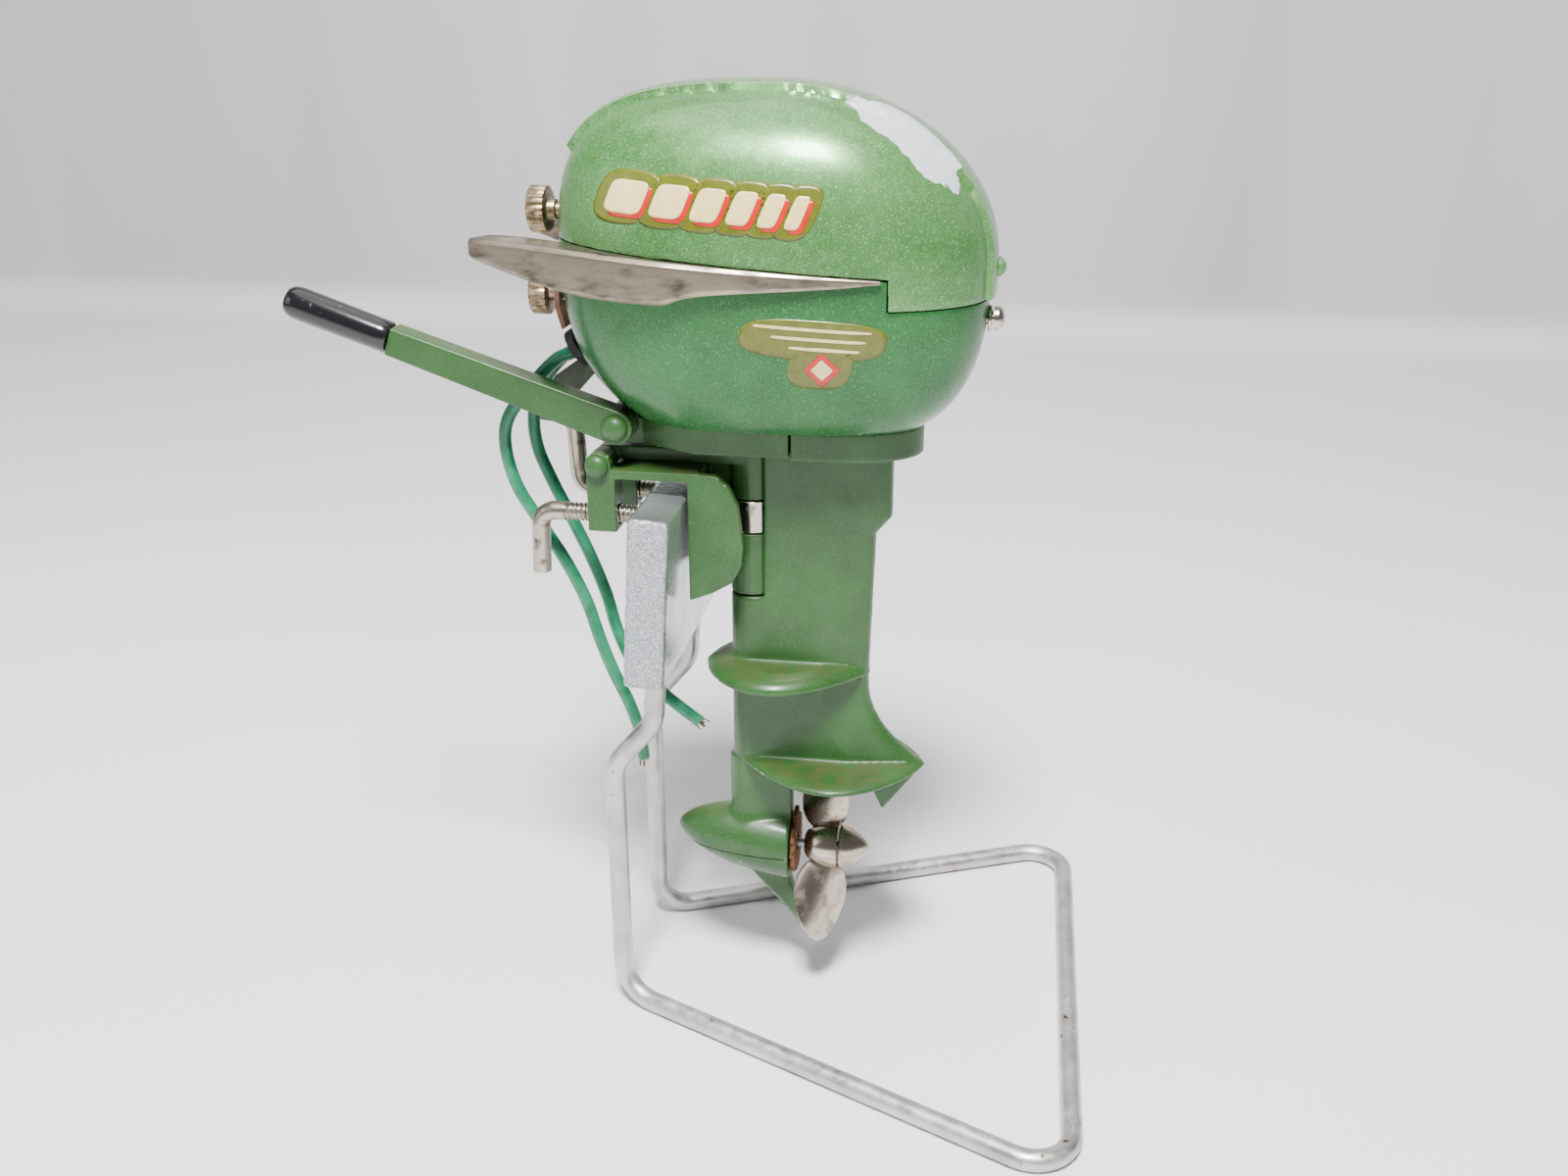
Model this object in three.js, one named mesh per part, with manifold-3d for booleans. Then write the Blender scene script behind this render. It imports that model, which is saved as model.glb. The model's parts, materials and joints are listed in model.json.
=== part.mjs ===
// Miniature electric outboard motor clamped to a bent-wire display stand.
// Millimetres, +X aft, +Y starboard, +Z up. The stand rests on Z = 0 and Y = 0 is the plane of symmetry.
import * as THREE from "three";
import { mergeVertices } from "three/addons/utils/BufferGeometryUtils.js";
import Module from "manifold-3d";

const wasm = await Module();
wasm.setup();

// ---------------------------------------------------------------- driving dimensions
const gap = 0.3; // between pieces that touch
const running = 0.1; // radial clearance of a turning fit
const facets = { large: 24, medium: 20, small: 16, tiny: 12 }; // sides of round pieces
const originX = 13; // the origin lies under the middle of the whole length

// Stand: one bent wire with its two ends pressed into a block.
const wireThickness = 3.2; // across the flats
const footHalfSpan = 12.6;
const baseLength = 73.8;
const baseAftHalfSpan = 45.2;
const wireBend = 6; // bend radius on the centre line
const uprightHeight = 44.5;
const jogRise = 8;
const blockThickness = 6.2;
const blockHeight = 27;
const blockHalfLength = 19.5;
const blockBottom = { x: 6.8, z: 61 };
const blockLean = THREE.MathUtils.degToRad(3.6);
const wireInBlock = 11;

// Clamp: a saddle over the block with two front legs, a rear jaw and two cheeks.
const clampHalfWidth = 8.5;
const clampPlate = 1.5;
const seatHeight = 90.4; // underside of the saddle
const saddleThickness = 1.3;
const legHalfGap = 4; // between the plane of symmetry and a front leg
const legFront = -3.5;
const legThickness = 4.4;
const legBottom = 82;
const jawBottom = 76;
const cheekBottom = 71.5;
const tiltPin = { x: -1.7, z: 92.3, radius: 1 };
const earRadius = 2;

// Clamp screws: bent rods with a pressure pad.
const screw = { y: 6.2, z: 84.3, radius: 1.45, bend: 2.4, handle: 7.6, pitch: 0.7 };
const screwReach = [-11.6, -8.9]; // where the port and starboard rods turn into their handles
const padRadius = 2;
const padThickness = 1;

// Swivel: arm from the tilt pin back to the steering barrel.
const steer = { x: 20.4, radius: 3.5, tube: 2, tubeBore: 1 };
const barrelBottom = 71;
const barrelTop = 94.3;
const bandBottom = 81.2;
const bandHeight = 5;
const armBottom = 92;
const armHalfWidth = 3.4;

// Steering bracket and leg flange, one plate split across at the seam.
const plateBottom = 94.8;
const plateThickness = 4.1;
const plateHalfWidth = 8.5;
const plateSeam = 27.1;
const flangeEnd = 46.3;
const noseHalfWidth = 4;
const foreScrewX = 12.5; // screws through the cowl floor into the bracket
const aftScrewX = 37; // and into the leg flange
const floorScrewY = 4.6;

// Tiller.
const tillerPivot = { x: 1.2, z: 98.2 };
const tillerRise = THREE.MathUtils.degToRad(19);
const tillerThickness = 4;
const tillerRootRadius = 2.6;
const tillerTipRadius = 2.1;
const gripStart = 36.2;
const tillerLength = 53.2;
const gripRadius = 2.55;

// Cowls: one egg shape, cut at the seam into a lower bowl and a hood.
const cowl = { x: 24, z: 123, front: 31.2, rear: 31, halfWidth: 18.5, up: 23.1, down: 28 };
const cowlWall = 1.3;
const cowlFloor = plateBottom + plateThickness + gap;
const seamFront = 125.9; // seam height above the cowl's front end
const seamAft = 122.4;
const notchX = 41.9; // the seam drops here to the rear skirt
const skirtBottom = 118.2;
const spineHalfWidth = 5.5;
const spineRise = 0.9;

// Leg and gear foot.
const legTop = 94.5;
const legAft = [[94.5, 42], [84, 42], [81.2, 39.6], [57, 38.9], [51.5, 39.8], [46.5, 42.6], [42.6, 47.4]];
const legHalfThickness = 3.5;
const sprayPlate = { z: 57.4, thickness: 2.6, front: 12.6, aft: 39.2, halfWidth: 11.4 };
const ventPlate = { z: 41.6, thickness: 1.3, front: 16.9, aft: 48.3, halfWidth: 12.8 };
const strutAft = 26.6;
const propAxis = 25.4; // height of the propeller shaft
const torpedo = { nose: 7.2, tail: 26.6, radius: 6.1, noseRise: 2.2 };
const skegTip = 8.9;

// Drive.
const driveX = steer.x; // the drive shaft runs down inside the steering tube
const driveRadius = 0.6;
const gearPitch = 2.5; // pitch radius of both bevel gears, which is also their distance from the apex
const gearTeeth = 12;
const gearFace = 1.1;
const propShaftRadius = 0.75;
const propRadius = 16.2;
const propX = 32.4;
const hubRadius = 3.7;
const propRestTurn = THREE.MathUtils.degToRad(-21);

// Electric motor.
const canRadius = 11;
const motorScrewY = canRadius - 4;
const canBottom = 104.4;
const canTop = 132;
const canWall = 0.9;
const armatureRadius = 6.6;

// Small pieces.
const knob = { radius: 3.4, width: 2.6, neck: 1.5, stud: 1, lowerZ: 116.6, upperZ: 128.6 };
const rearScrew = { x: cowl.x + cowl.rear - 1.2, z: 114.6, radius: 1 };
const hoodBossZ = 121.9;
const leverPivot = { x: 0.5, z: 108.5 };
const leverInnerFace = cowl.halfWidth - 3.9; // clear of the bowl's flank there
const leverThickness = 1.5;
const leadRadius = 1;
const leadSpacing = 1.45; // from the plane of symmetry to each lead in the grommet
const leadHole = { x: -4.4, z: 109.4 };
const grommet = { radius: 3.1, tilt: THREE.MathUtils.degToRad(35) };

// ---------------------------------------------------------------- materials
const paint = (color, roughness, metalness) => new THREE.MeshStandardMaterial({ color, roughness, metalness });
const hoodGreen = paint(0x72aa68, 0.35, 0.35);
const cowlGreen = paint(0x4b8550, 0.35, 0.35);
const castGreen = paint(0x3f6436, 0.5, 0.1);
const nickel = paint(0xa79d8f, 0.35, 0.9);
const zinc = paint(0x9a9c9b, 0.45, 0.85);
const silverPaint = paint(0xb4b8bc, 0.55, 0.6);
const blackGloss = paint(0x0c0c0d, 0.2, 0);
const leadGreen = paint(0x3f9b72, 0.35, 0);
const steel = paint(0x8d8f92, 0.35, 0.95);
const brass = paint(0xb08d4a, 0.4, 0.9);
const rust = paint(0x5d3a20, 0.9, 0.1);
const phenolic = paint(0x4a2f22, 0.6, 0);
const ferrite = paint(0x2e2e30, 0.7, 0.1);

// ---------------------------------------------------------------- solids
function toSolid(geometry) {
  const bare = geometry.clone();
  for (const name of Object.keys(bare.attributes)) {
    if (name !== "position") bare.deleteAttribute(name);
  }
  const merged = mergeVertices(bare, 1e-4);
  const vertProperties = new Float32Array(merged.attributes.position.array);
  const kept = [];
  const corners = merged.index.array;
  for (let i = 0; i < corners.length; i += 3) {
    const [a, b, c] = [corners[i], corners[i + 1], corners[i + 2]];
    if (a !== b && b !== c && c !== a) kept.push(a, b, c);
  }
  return new wasm.Manifold(new wasm.Mesh({ numProp: 3, vertProperties, triVerts: new Uint32Array(kept) }));
}

function toGeometry(solid) {
  const mesh = solid.getMesh();
  const geometry = new THREE.BufferGeometry();
  geometry.setAttribute("position", new THREE.BufferAttribute(mesh.vertProperties, 3));
  geometry.setIndex(new THREE.BufferAttribute(mesh.triVerts, 1));
  return geometry;
}

function join(first, ...others) {
  return toGeometry(others.reduce((sum, next) => sum.add(toSolid(next)), toSolid(first)));
}

function cut(first, ...others) {
  return toGeometry(others.reduce((rest, next) => rest.subtract(toSolid(next)), toSolid(first)));
}

const common = (first, second) => toGeometry(toSolid(first).intersect(toSolid(second)));

function box(x0, x1, y0, y1, z0, z1) {
  const geometry = new THREE.BoxGeometry(x1 - x0, y1 - y0, z1 - z0);
  return geometry.translate((x0 + x1) / 2, (y0 + y1) / 2, (z0 + z1) / 2);
}

// Round bar between two coordinates along one axis, through the other two coordinates in X, Y, Z order.
function bar(axis, radius, from, to, u, v, sides = facets.small) {
  const geometry = new THREE.CylinderGeometry(radius, radius, to - from, sides);
  const middle = (from + to) / 2;
  if (axis === "x") return geometry.rotateZ(-Math.PI / 2).translate(middle, u, v);
  if (axis === "y") return geometry.translate(u, middle, v);
  return geometry.rotateX(Math.PI / 2).translate(u, v, middle);
}

// Turned shape: profile points are [radius, height] from one end on the axis to the other.
function turned(axis, profile, x, y, z, sides = facets.medium) {
  const geometry = new THREE.LatheGeometry(profile.map(([r, h]) => new THREE.Vector2(r, h)), sides);
  if (axis === "x") geometry.rotateZ(-Math.PI / 2);
  if (axis === "z") geometry.rotateX(Math.PI / 2);
  return facingOut(geometry.translate(x, y, z));
}

// Upright plate: an outline of [x, z] points extruded from y0 to y1.
function slab(outline, y0, y1) {
  const shape = new THREE.Shape(outline.map(([x, z]) => new THREE.Vector2(x, z)));
  const geometry = new THREE.ExtrudeGeometry(shape, { depth: y1 - y0, bevelEnabled: false, curveSegments: 8 });
  return geometry.rotateX(Math.PI / 2).translate(0, y1, 0);
}

// Level plate: an outline of [x, y] points extruded from z0 to z1.
function sheet(outline, z0, z1) {
  const shape = new THREE.Shape(outline.map(([x, y]) => new THREE.Vector2(x, y)));
  return new THREE.ExtrudeGeometry(shape, { depth: z1 - z0, bevelEnabled: false }).translate(0, 0, z0);
}

// Skin over a row of rings that all have the same number of points, closed by a fan at each end.
function loft(rings) {
  const count = rings[0].length;
  const positions = rings.flat().flatMap((p) => p.toArray());
  const ends = [rings[0], rings[rings.length - 1]];
  for (const ring of ends) {
    const middle = ring.reduce((sum, p) => sum.add(p), new THREE.Vector3()).divideScalar(count);
    positions.push(...middle.toArray());
  }
  const index = [];
  for (let j = 0; j < rings.length - 1; j++) {
    for (let i = 0; i < count; i++) {
      const next = (i + 1) % count;
      const [a, b, c, d] = [j * count + i, j * count + next, (j + 1) * count + next, (j + 1) * count + i];
      index.push(a, b, c, a, c, d);
    }
  }
  const first = rings.length * count;
  const last = (rings.length - 1) * count;
  for (let i = 0; i < count; i++) {
    const next = (i + 1) % count;
    index.push(first, next, i, first + 1, last + i, last + next);
  }
  const geometry = new THREE.BufferGeometry();
  geometry.setAttribute("position", new THREE.Float32BufferAttribute(positions, 3));
  geometry.setIndex(index);
  return facingOut(geometry);
}

function signedVolume(geometry) {
  const position = geometry.attributes.position;
  const corner = (n) => new THREE.Vector3().fromBufferAttribute(position, geometry.index.getX(n));
  let volume = 0;
  for (let i = 0; i < geometry.index.count; i += 3) {
    volume += corner(i).dot(corner(i + 1).cross(corner(i + 2))) / 6;
  }
  return volume;
}

const facingOut = (geometry) => (signedVolume(geometry) < 0 ? turnedInsideOut(geometry) : geometry);

function turnedInsideOut(geometry) {
  const corners = Array.from(geometry.index.array);
  for (let i = 0; i < corners.length; i += 3) {
    [corners[i + 1], corners[i + 2]] = [corners[i + 2], corners[i + 1]];
  }
  geometry.setIndex(corners);
  return geometry;
}

// Mirror image across the plane of symmetry.
function mirrored(geometry) {
  const copy = geometry.clone().scale(1, -1, 1);
  const indexed = copy.index ? copy : mergeVertices(copy);
  return turnedInsideOut(indexed);
}

// Points of a polyline whose corners are rounded to a radius.
function rounded(corners, radius, steps = 5) {
  const points = [corners[0]];
  for (let i = 1; i < corners.length - 1; i++) {
    const before = corners[i - 1].clone().sub(corners[i]).normalize();
    const after = corners[i + 1].clone().sub(corners[i]).normalize();
    const half = before.angleTo(after) / 2;
    const inset = radius / Math.tan(half);
    const bisector = before.clone().add(after).normalize();
    const centre = bisector.multiplyScalar(radius / Math.sin(half)).add(corners[i]);
    const start = before.multiplyScalar(inset).add(corners[i]).sub(centre);
    const end = after.multiplyScalar(inset).add(corners[i]).sub(centre);
    const normal = start.clone().cross(end).normalize();
    const sweep = start.angleTo(end);
    for (let n = 0; n <= steps; n++) {
      points.push(start.clone().applyAxisAngle(normal, (sweep * n) / steps).add(centre));
    }
  }
  return [...points, corners[corners.length - 1]];
}

// Path that steps from point to point of a list.
class Route extends THREE.Curve {
  constructor(points) {
    super();
    this.points = points;
  }
  getPointAt(u, target = new THREE.Vector3()) {
    return target.copy(this.points[Math.round(u * (this.points.length - 1))]);
  }
  getTangentAt(u, target = new THREE.Vector3()) {
    const n = Math.round(u * (this.points.length - 1));
    const before = this.points[Math.max(n - 1, 0)];
    const after = this.points[Math.min(n + 1, this.points.length - 1)];
    const ahead = after.clone().sub(this.points[n]).normalize();
    const behind = this.points[n].clone().sub(before).normalize();
    return target.copy(ahead).add(behind).normalize();
  }
}

// Round rod along a list of points. With flatAt, one flat of the rod faces down at that point.
function rod(points, radius, sides, flatAt = null) {
  const path = new Route(points);
  const steps = points.length - 1;
  let turn = 0;
  if (flatAt !== null) {
    const frames = path.computeFrenetFrames(steps, false);
    turn = Math.atan2(-frames.binormals[flatAt].z, -frames.normals[flatAt].z) + Math.PI / sides;
  }
  const section = Array.from({ length: sides }, (_, i) => {
    const angle = turn + (i * 2 * Math.PI) / sides;
    return new THREE.Vector2(Math.cos(angle), Math.sin(angle)).multiplyScalar(radius);
  });
  return new THREE.ExtrudeGeometry(new THREE.Shape(section), { steps, extrudePath: path, bevelEnabled: false });
}

const point = (x, y, z) => new THREE.Vector3(x, y, z);

// ---------------------------------------------------------------- assembly
const outboard = new THREE.Group();
outboard.position.x = -originX;

function add(name, geometry, material) {
  const mesh = new THREE.Mesh(geometry, material);
  mesh.name = name;
  outboard.add(mesh);
}

// ---------------------------------------------------------------- stand
const leanX = Math.sin(blockLean);
const leanZ = Math.cos(blockLean);
// A place in the block's own frame: forward of its middle plane and up from its bottom.
const onBlock = (across, up) => [
  blockBottom.x + across * leanZ + up * leanX,
  blockBottom.z - across * leanX + up * leanZ,
];
// X of the block's front face at a height.
function blockFrontAt(z) {
  return blockBottom.x - blockThickness / 2 / leanZ + (z - blockBottom.z) * Math.tan(blockLean);
}

{
  const base = wireThickness / 2;
  const wireShift = 0.5; // the wire enters the block a little aft of its middle
  const [topX, topZ] = onBlock(wireShift, wireInBlock);
  const jogTop = uprightHeight + jogRise;
  const jogX = topX - (topZ - jogTop) * Math.tan(blockLean);
  const half = (side) => [
    point(topX, side * footHalfSpan, topZ),
    point(jogX, side * footHalfSpan, jogTop),
    point(0, side * footHalfSpan, uprightHeight),
    point(0, side * footHalfSpan, base),
    point(baseLength, side * baseAftHalfSpan, base),
  ];
  const points = rounded([...half(-1), ...half(1).reverse()], wireBend);
  const middle = Math.floor(points.length / 2);
  const sides = 8;
  add("stand_wire", rod(points, wireThickness / 2 / Math.cos(Math.PI / sides), sides, middle), zinc);

  const halfBlock = blockThickness / 2;
  const outline = [[-halfBlock, 0], [halfBlock, 0], [halfBlock, blockHeight], [-halfBlock, blockHeight]];
  const block = slab(outline.map(([across, up]) => onBlock(across, up)), -blockHalfLength, blockHalfLength);
  const holes = [-1, 1].map((side) => {
    const [startX, startZ] = onBlock(wireShift, -1);
    const [endX, endZ] = onBlock(wireShift, wireInBlock + gap);
    const y = side * footHalfSpan;
    return rod([point(startX, y, startZ), point(endX, y, endZ)], wireThickness / 2 + gap + 0.05, facets.tiny);
  });
  add("stand_block", cut(block, ...holes), silverPaint);
}

// ---------------------------------------------------------------- clamp
const saddleTop = seatHeight + saddleThickness;
const jawX = blockBottom.x + blockThickness / 2 + blockHeight * leanX + gap;
const cheekShape = [
  [jawX, saddleTop], [16.2, saddleTop - 0.2], [18.3, saddleTop - 2], [19.5, 87], [20.3, 80.5],
  [20, 77.4], [18.6, 74.8], [15.6, 73], [jawX, cheekBottom],
];

{
  const jawAft = jawX + clampPlate;
  const legAftFace = legFront + legThickness;
  const saddle = box(legAftFace - 1, jawAft, -clampHalfWidth, clampHalfWidth, seatHeight, saddleTop);
  const jaw = box(jawX, jawAft, -clampHalfWidth, clampHalfWidth, jawBottom, saddleTop);
  const pieces = [saddle, jaw];
  for (const side of [-1, 1]) {
    const ySpan = (a, b) => (side < 0 ? [-b, -a] : [a, b]);
    const legSpan = ySpan(legHalfGap, clampHalfWidth);
    pieces.push(box(legFront, legAftFace, ...legSpan, legBottom, saddleTop));
    pieces.push(bar("y", earRadius, ...legSpan, tiltPin.x, tiltPin.z, facets.medium));
    pieces.push(slab(cheekShape, ...ySpan(clampHalfWidth - clampPlate, clampHalfWidth)));
  }
  const reliefAft = tiltPin.x + earRadius + gap;
  const relief = box(-10, reliefAft, -legHalfGap, legHalfGap, seatHeight - 1, saddleTop + 5);
  const pinBore = bar("y", tiltPin.radius + running, -20, 20, tiltPin.x, tiltPin.z);
  const screwBores = [-1, 1].map((side) =>
    bar("x", screw.radius + 0.15, legFront - 5, legAftFace + 1, side * screw.y, screw.z));
  add("clamp_bracket", cut(join(...pieces), relief, pinBore, ...screwBores), castGreen);

  const end = clampHalfWidth + gap;
  const headRadius = 1.75;
  const half = [
    [0, 0], [tiltPin.radius, 0], [tiltPin.radius, end], [headRadius, end], [headRadius, end + 0.4],
    [1.2, end + 1], [0, end + 1.2],
  ];
  const pinHalf = turned("y", half, tiltPin.x, 0, tiltPin.z);
  add("tilt_pin", join(pinHalf, mirrored(pinHalf)), castGreen);
}

// Clamp screws: the port handle hangs down, the starboard one points up.
for (const [n, name] of ["port", "starboard"].entries()) {
  const side = n === 0 ? -1 : 1;
  const padAft = blockFrontAt(screw.z) - gap;
  const padFore = padAft - padThickness;
  const y = side * screw.y;
  add(`clamp_pad_${name}`, bar("x", padRadius, padFore, padAft, y, screw.z, facets.medium), nickel);
  const handleEnd = screw.z + side * (screw.handle + screw.bend);
  const corners = [
    point(padFore - gap, y, screw.z),
    point(screwReach[n], y, screw.z),
    point(screwReach[n] - 0.4, y, handleEnd),
  ];
  add(`clamp_screw_${name}`, rod(rounded(corners, screw.bend, 6), screw.radius, facets.tiny), nickel);
}

// ---------------------------------------------------------------- swivel
{
  const knuckleEnd = legHalfGap - gap;
  const knuckle = bar("y", earRadius - running, -knuckleEnd, knuckleEnd, tiltPin.x, tiltPin.z, facets.medium);
  const arm = box(tiltPin.x, steer.x, -armHalfWidth, armHalfWidth, armBottom, barrelTop - 0.1);
  const barrel = bar("z", steer.radius, barrelBottom, barrelTop, steer.x, 0, facets.large);
  const webFront = jawX + clampPlate + gap;
  const webAft = steer.x - 2;
  const webTop = armBottom + 1;
  const web = slab([[webFront, webTop], [webFront, 84], [webAft, 77], [webAft, webTop]], -1.2, 1.2);
  const bandTop = bandBottom + bandHeight;
  const grooveRadius = steer.radius - 0.6;
  const roundBarrel = (radius, from, to) => bar("z", radius, from, to, steer.x, 0, facets.large);
  const groove = cut(
    roundBarrel(steer.radius + 1, bandBottom - gap, bandTop + gap),
    roundBarrel(grooveRadius, bandBottom - 1, bandTop + 1),
  );
  const bore = bar("z", steer.tube + running, barrelBottom - 1, barrelTop + 1, steer.x, 0, facets.medium);
  const tiltBore = bar("y", tiltPin.radius + running, -20, 20, tiltPin.x, tiltPin.z);
  const webRelief = roundBarrel(steer.radius + 0.6, bandBottom - gap, bandTop + gap);
  const body = cut(join(knuckle, arm, cut(web, webRelief), barrel), groove, bore, tiltBore);
  add("swivel_bracket", body, castGreen);
  const ring = cut(
    roundBarrel(steer.radius, bandBottom, bandTop),
    roundBarrel(grooveRadius + gap, bandBottom - 1, bandTop + 1),
  );
  add("swivel_band", ring, nickel);
}

// ---------------------------------------------------------------- steering bracket, flange and leg
const plateTop = plateBottom + plateThickness;
const tubeBottom = 66;
const tubeTop = plateTop - 1;
const legSection = (z) => {
  // Round nose about the steering axis, flat sides and a narrow trailing edge.
  const aft = legAftAt(z);
  const nose = Array.from({ length: 9 }, (_, i) => {
    const angle = Math.PI / 2 + (i * Math.PI) / 8;
    return point(steer.x + legHalfThickness * Math.cos(angle), legHalfThickness * Math.sin(angle), z);
  });
  const tailHalf = legHalfThickness * 0.42;
  const shoulder = steer.x + (aft - steer.x) * 0.55;
  return [
    ...nose,
    point(shoulder, -legHalfThickness * 0.92, z),
    point(aft - 0.8, -tailHalf, z),
    point(aft, -tailHalf * 0.5, z),
    point(aft, tailHalf * 0.5, z),
    point(aft - 0.8, tailHalf, z),
    point(shoulder, legHalfThickness * 0.92, z),
  ];
};

function legAftAt(z) {
  const below = legAft.findIndex(([height]) => height <= z);
  if (below <= 0) return legAft[Math.max(below, 0)][1];
  const [z1, x1] = legAft[below - 1];
  const [z0, x0] = legAft[below];
  return x0 + ((x1 - x0) * (z - z0)) / (z1 - z0);
}

// Leaf-shaped level plate round the leg: full in the middle, pointed at both ends.
function leafOutline({ front, aft, halfWidth }, bluntness) {
  const side = Array.from({ length: 13 }, (_, i) => {
    const t = i / 12;
    return [front + (aft - front) * t, halfWidth * Math.sin(Math.PI * t ** bluntness) ** 0.8];
  });
  const between = side.slice(1, -1);
  const port = between.toReversed().map(([x, y]) => [x, -y]);
  return [...between, side[12], ...port, side[0]];
}

const torpedoRadius = (x) => {
  const t = (torpedo.tail - x) / (torpedo.tail - torpedo.nose);
  return torpedo.radius * Math.max(1 - t ** 2.3, 0.004) ** 0.62;
};
const torpedoRing = (x, shrink = 0) => {
  const middle = propAxis + (torpedo.noseRise * (torpedo.tail - x)) / (torpedo.tail - torpedo.nose);
  return Array.from({ length: 24 }, (_, i) => {
    const angle = (i * Math.PI) / 12;
    const radius = torpedoRadius(x) - shrink;
    return point(x, radius * Math.cos(angle), middle + radius * Math.sin(angle));
  });
};

{
  const outline = [
    [plateSeam, -plateHalfWidth], [plateSeam, plateHalfWidth], [13, plateHalfWidth],
    [4.4, noseHalfWidth], [tillerPivot.x, noseHalfWidth], [tillerPivot.x, -noseHalfWidth],
    [4.4, -noseHalfWidth], [13, -plateHalfWidth],
  ];
  const { x: noseX, z: noseZ } = tillerPivot;
  const nose = bar("y", tillerRootRadius, -noseHalfWidth, noseHalfWidth, noseX, noseZ, facets.medium);
  const flatNose = cut(nose, box(-20, 40, -20, 20, 80, plateBottom));
  const tubeBore = bar("z", steer.tube + 0.05, plateBottom - 1, tubeTop + gap, steer.x, 0, facets.medium);
  const shaftBore = bar("z", steer.tubeBore, plateBottom - 1, plateTop + 1, driveX, 0, facets.tiny);
  const rivetBore = bar("y", 1 + running, -20, -noseHalfWidth + 3, tillerPivot.x, tillerPivot.z);
  const threads = [-1, 1].flatMap((side) => [
    bar("z", 1.1, plateTop - 3, plateTop + 1, foreScrewX, side * floorScrewY, facets.tiny),
    bar("z", 0.8, plateTop - 3, plateTop + 1, driveX, side * motorScrewY, facets.tiny),
  ]);
  const plate = sheet(outline, plateBottom, plateTop);
  const body = join(plate, cut(flatNose, egg(gap)));
  add("steering_bracket", cut(body, tubeBore, shaftBore, rivetBore, ...threads), castGreen);
  const tube = bar("z", steer.tube, tubeBottom, tubeTop, steer.x, 0, facets.medium);
  const lengthwiseBore = bar("z", steer.tubeBore, tubeBottom - 1, tubeTop + 1, steer.x, 0, facets.tiny);
  add("steering_tube", cut(tube, lengthwiseBore), nickel);
}

const gearChamber = { front: driveX - gearPitch - 1.7, radius: gearPitch + 0.7 };
const foreBearingFront = gearChamber.front - 3.2;

{
  const heights = [legTop, 84, 81.2, 70, 57, 51.5, 49, 46.5, 44.4, 42.6];
  const blade = loft(heights.map(legSection).concat([legSection(42)]));
  const flangeOutline = [[plateSeam + gap, -plateHalfWidth]];
  for (let i = 0; i <= 12; i++) {
    const angle = -Math.PI / 2 + (i * Math.PI) / 12;
    const start = 34;
    flangeOutline.push([start + (flangeEnd - start) * Math.cos(angle), plateHalfWidth * Math.sin(angle)]);
  }
  flangeOutline.push([plateSeam + gap, plateHalfWidth]);
  const flange = sheet(flangeOutline, legTop - 0.2, plateTop);
  const spray = sheet(leafOutline(sprayPlate, 0.82), sprayPlate.z, sprayPlate.z + sprayPlate.thickness);
  const vent = sheet(leafOutline(ventPlate, 1.1), ventPlate.z, ventPlate.z + ventPlate.thickness);
  const fin = slab([[39.4, 42], [39.4, 37.2], [41.8, 33], [47.6, 41.2], [47.6, 42]], -0.8, 0.8);
  const strutRings = [ventPlate.z + 0.5, propAxis].map((z) => {
    const nose = Array.from({ length: 9 }, (_, i) => {
      const angle = Math.PI / 2 + (i * Math.PI) / 8;
      return point(steer.x - 1 + 3.1 * Math.cos(angle), 3.1 * Math.sin(angle), z);
    });
    return [...nose, point(strutAft, -1.9, z), point(strutAft, 1.9, z)];
  });
  const fromNose = [0, 0.5, 1.5, 3, 5, 7.5, 10.5, 14, 17];
  const bodyStations = [...fromNose.map((distance) => torpedo.nose + distance), torpedo.tail];
  const foot = loft(bodyStations.map((x) => torpedoRing(x)));
  const upper = common(foot, box(0, 60, -20, 20, propAxis + gap / 2, 60));
  const lower = common(foot, box(0, 60, -20, 20, 0, propAxis - gap / 2));

  const recess = join(
    bar("z", steer.radius + 0.35, barrelBottom - gap, legTop + 1, steer.x, 0, facets.large),
    box(0, steer.x, -10, 10, barrelBottom - gap, legTop + 1),
  );
  const tubeHole = bar("z", steer.tube + 0.05, tubeBottom - gap, barrelBottom, steer.x, 0, facets.medium);
  const shaftHole = bar("z", driveRadius + 0.2, propAxis, legTop + 1, driveX, 0, facets.tiny);
  const chamber = bar("x", gearChamber.radius, gearChamber.front, torpedo.tail + 1, 0, propAxis, facets.medium);
  const pinionRoom = bar("z", gearPitch + 0.5, propAxis, propAxis + gearPitch + 1.6, driveX, 0, facets.medium);
  const foreHoleFront = foreBearingFront - gap;
  const foreHoleAft = gearChamber.front + 1;
  const foreHole = bar("x", propShaftRadius + running, foreHoleFront, foreHoleAft, 0, propAxis, facets.tiny);
  const flangeThreads = [-1, 1].map((side) =>
    bar("z", 1.1, plateTop - 3, plateTop + 1, aftScrewX, side * floorScrewY, facets.tiny));
  const strut = common(loft(strutRings), box(0, 60, -20, 20, propAxis + gap / 2, 60));
  const leg = join(blade, flange, spray, vent, fin, strut, upper);
  const voids = [recess, tubeHole, shaftHole, chamber, pinionRoom, foreHole];
  add("leg_casting", cut(leg, ...voids, ...flangeThreads), castGreen);

  const skegStations = [
    // z, fore edge, aft edge, half thickness
    [21, 18.2, 26.5, 1.1], [19.6, 19.4, 26.6, 1], [skegTip + 4, 25, 28, 0.7], [skegTip, 28, 28.9, 0.35],
  ];
  const skeg = loft(skegStations.map(([z, fore, aft, half]) => [
    point(fore, 0, z), point(fore + 0.6, -half, z), point(aft - 0.4, -half, z),
    point(aft, 0, z), point(aft - 0.4, half, z), point(fore + 0.6, half, z),
  ]));
  add("gear_cover", cut(join(lower, skeg), chamber, foreHole), castGreen);
}

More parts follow.
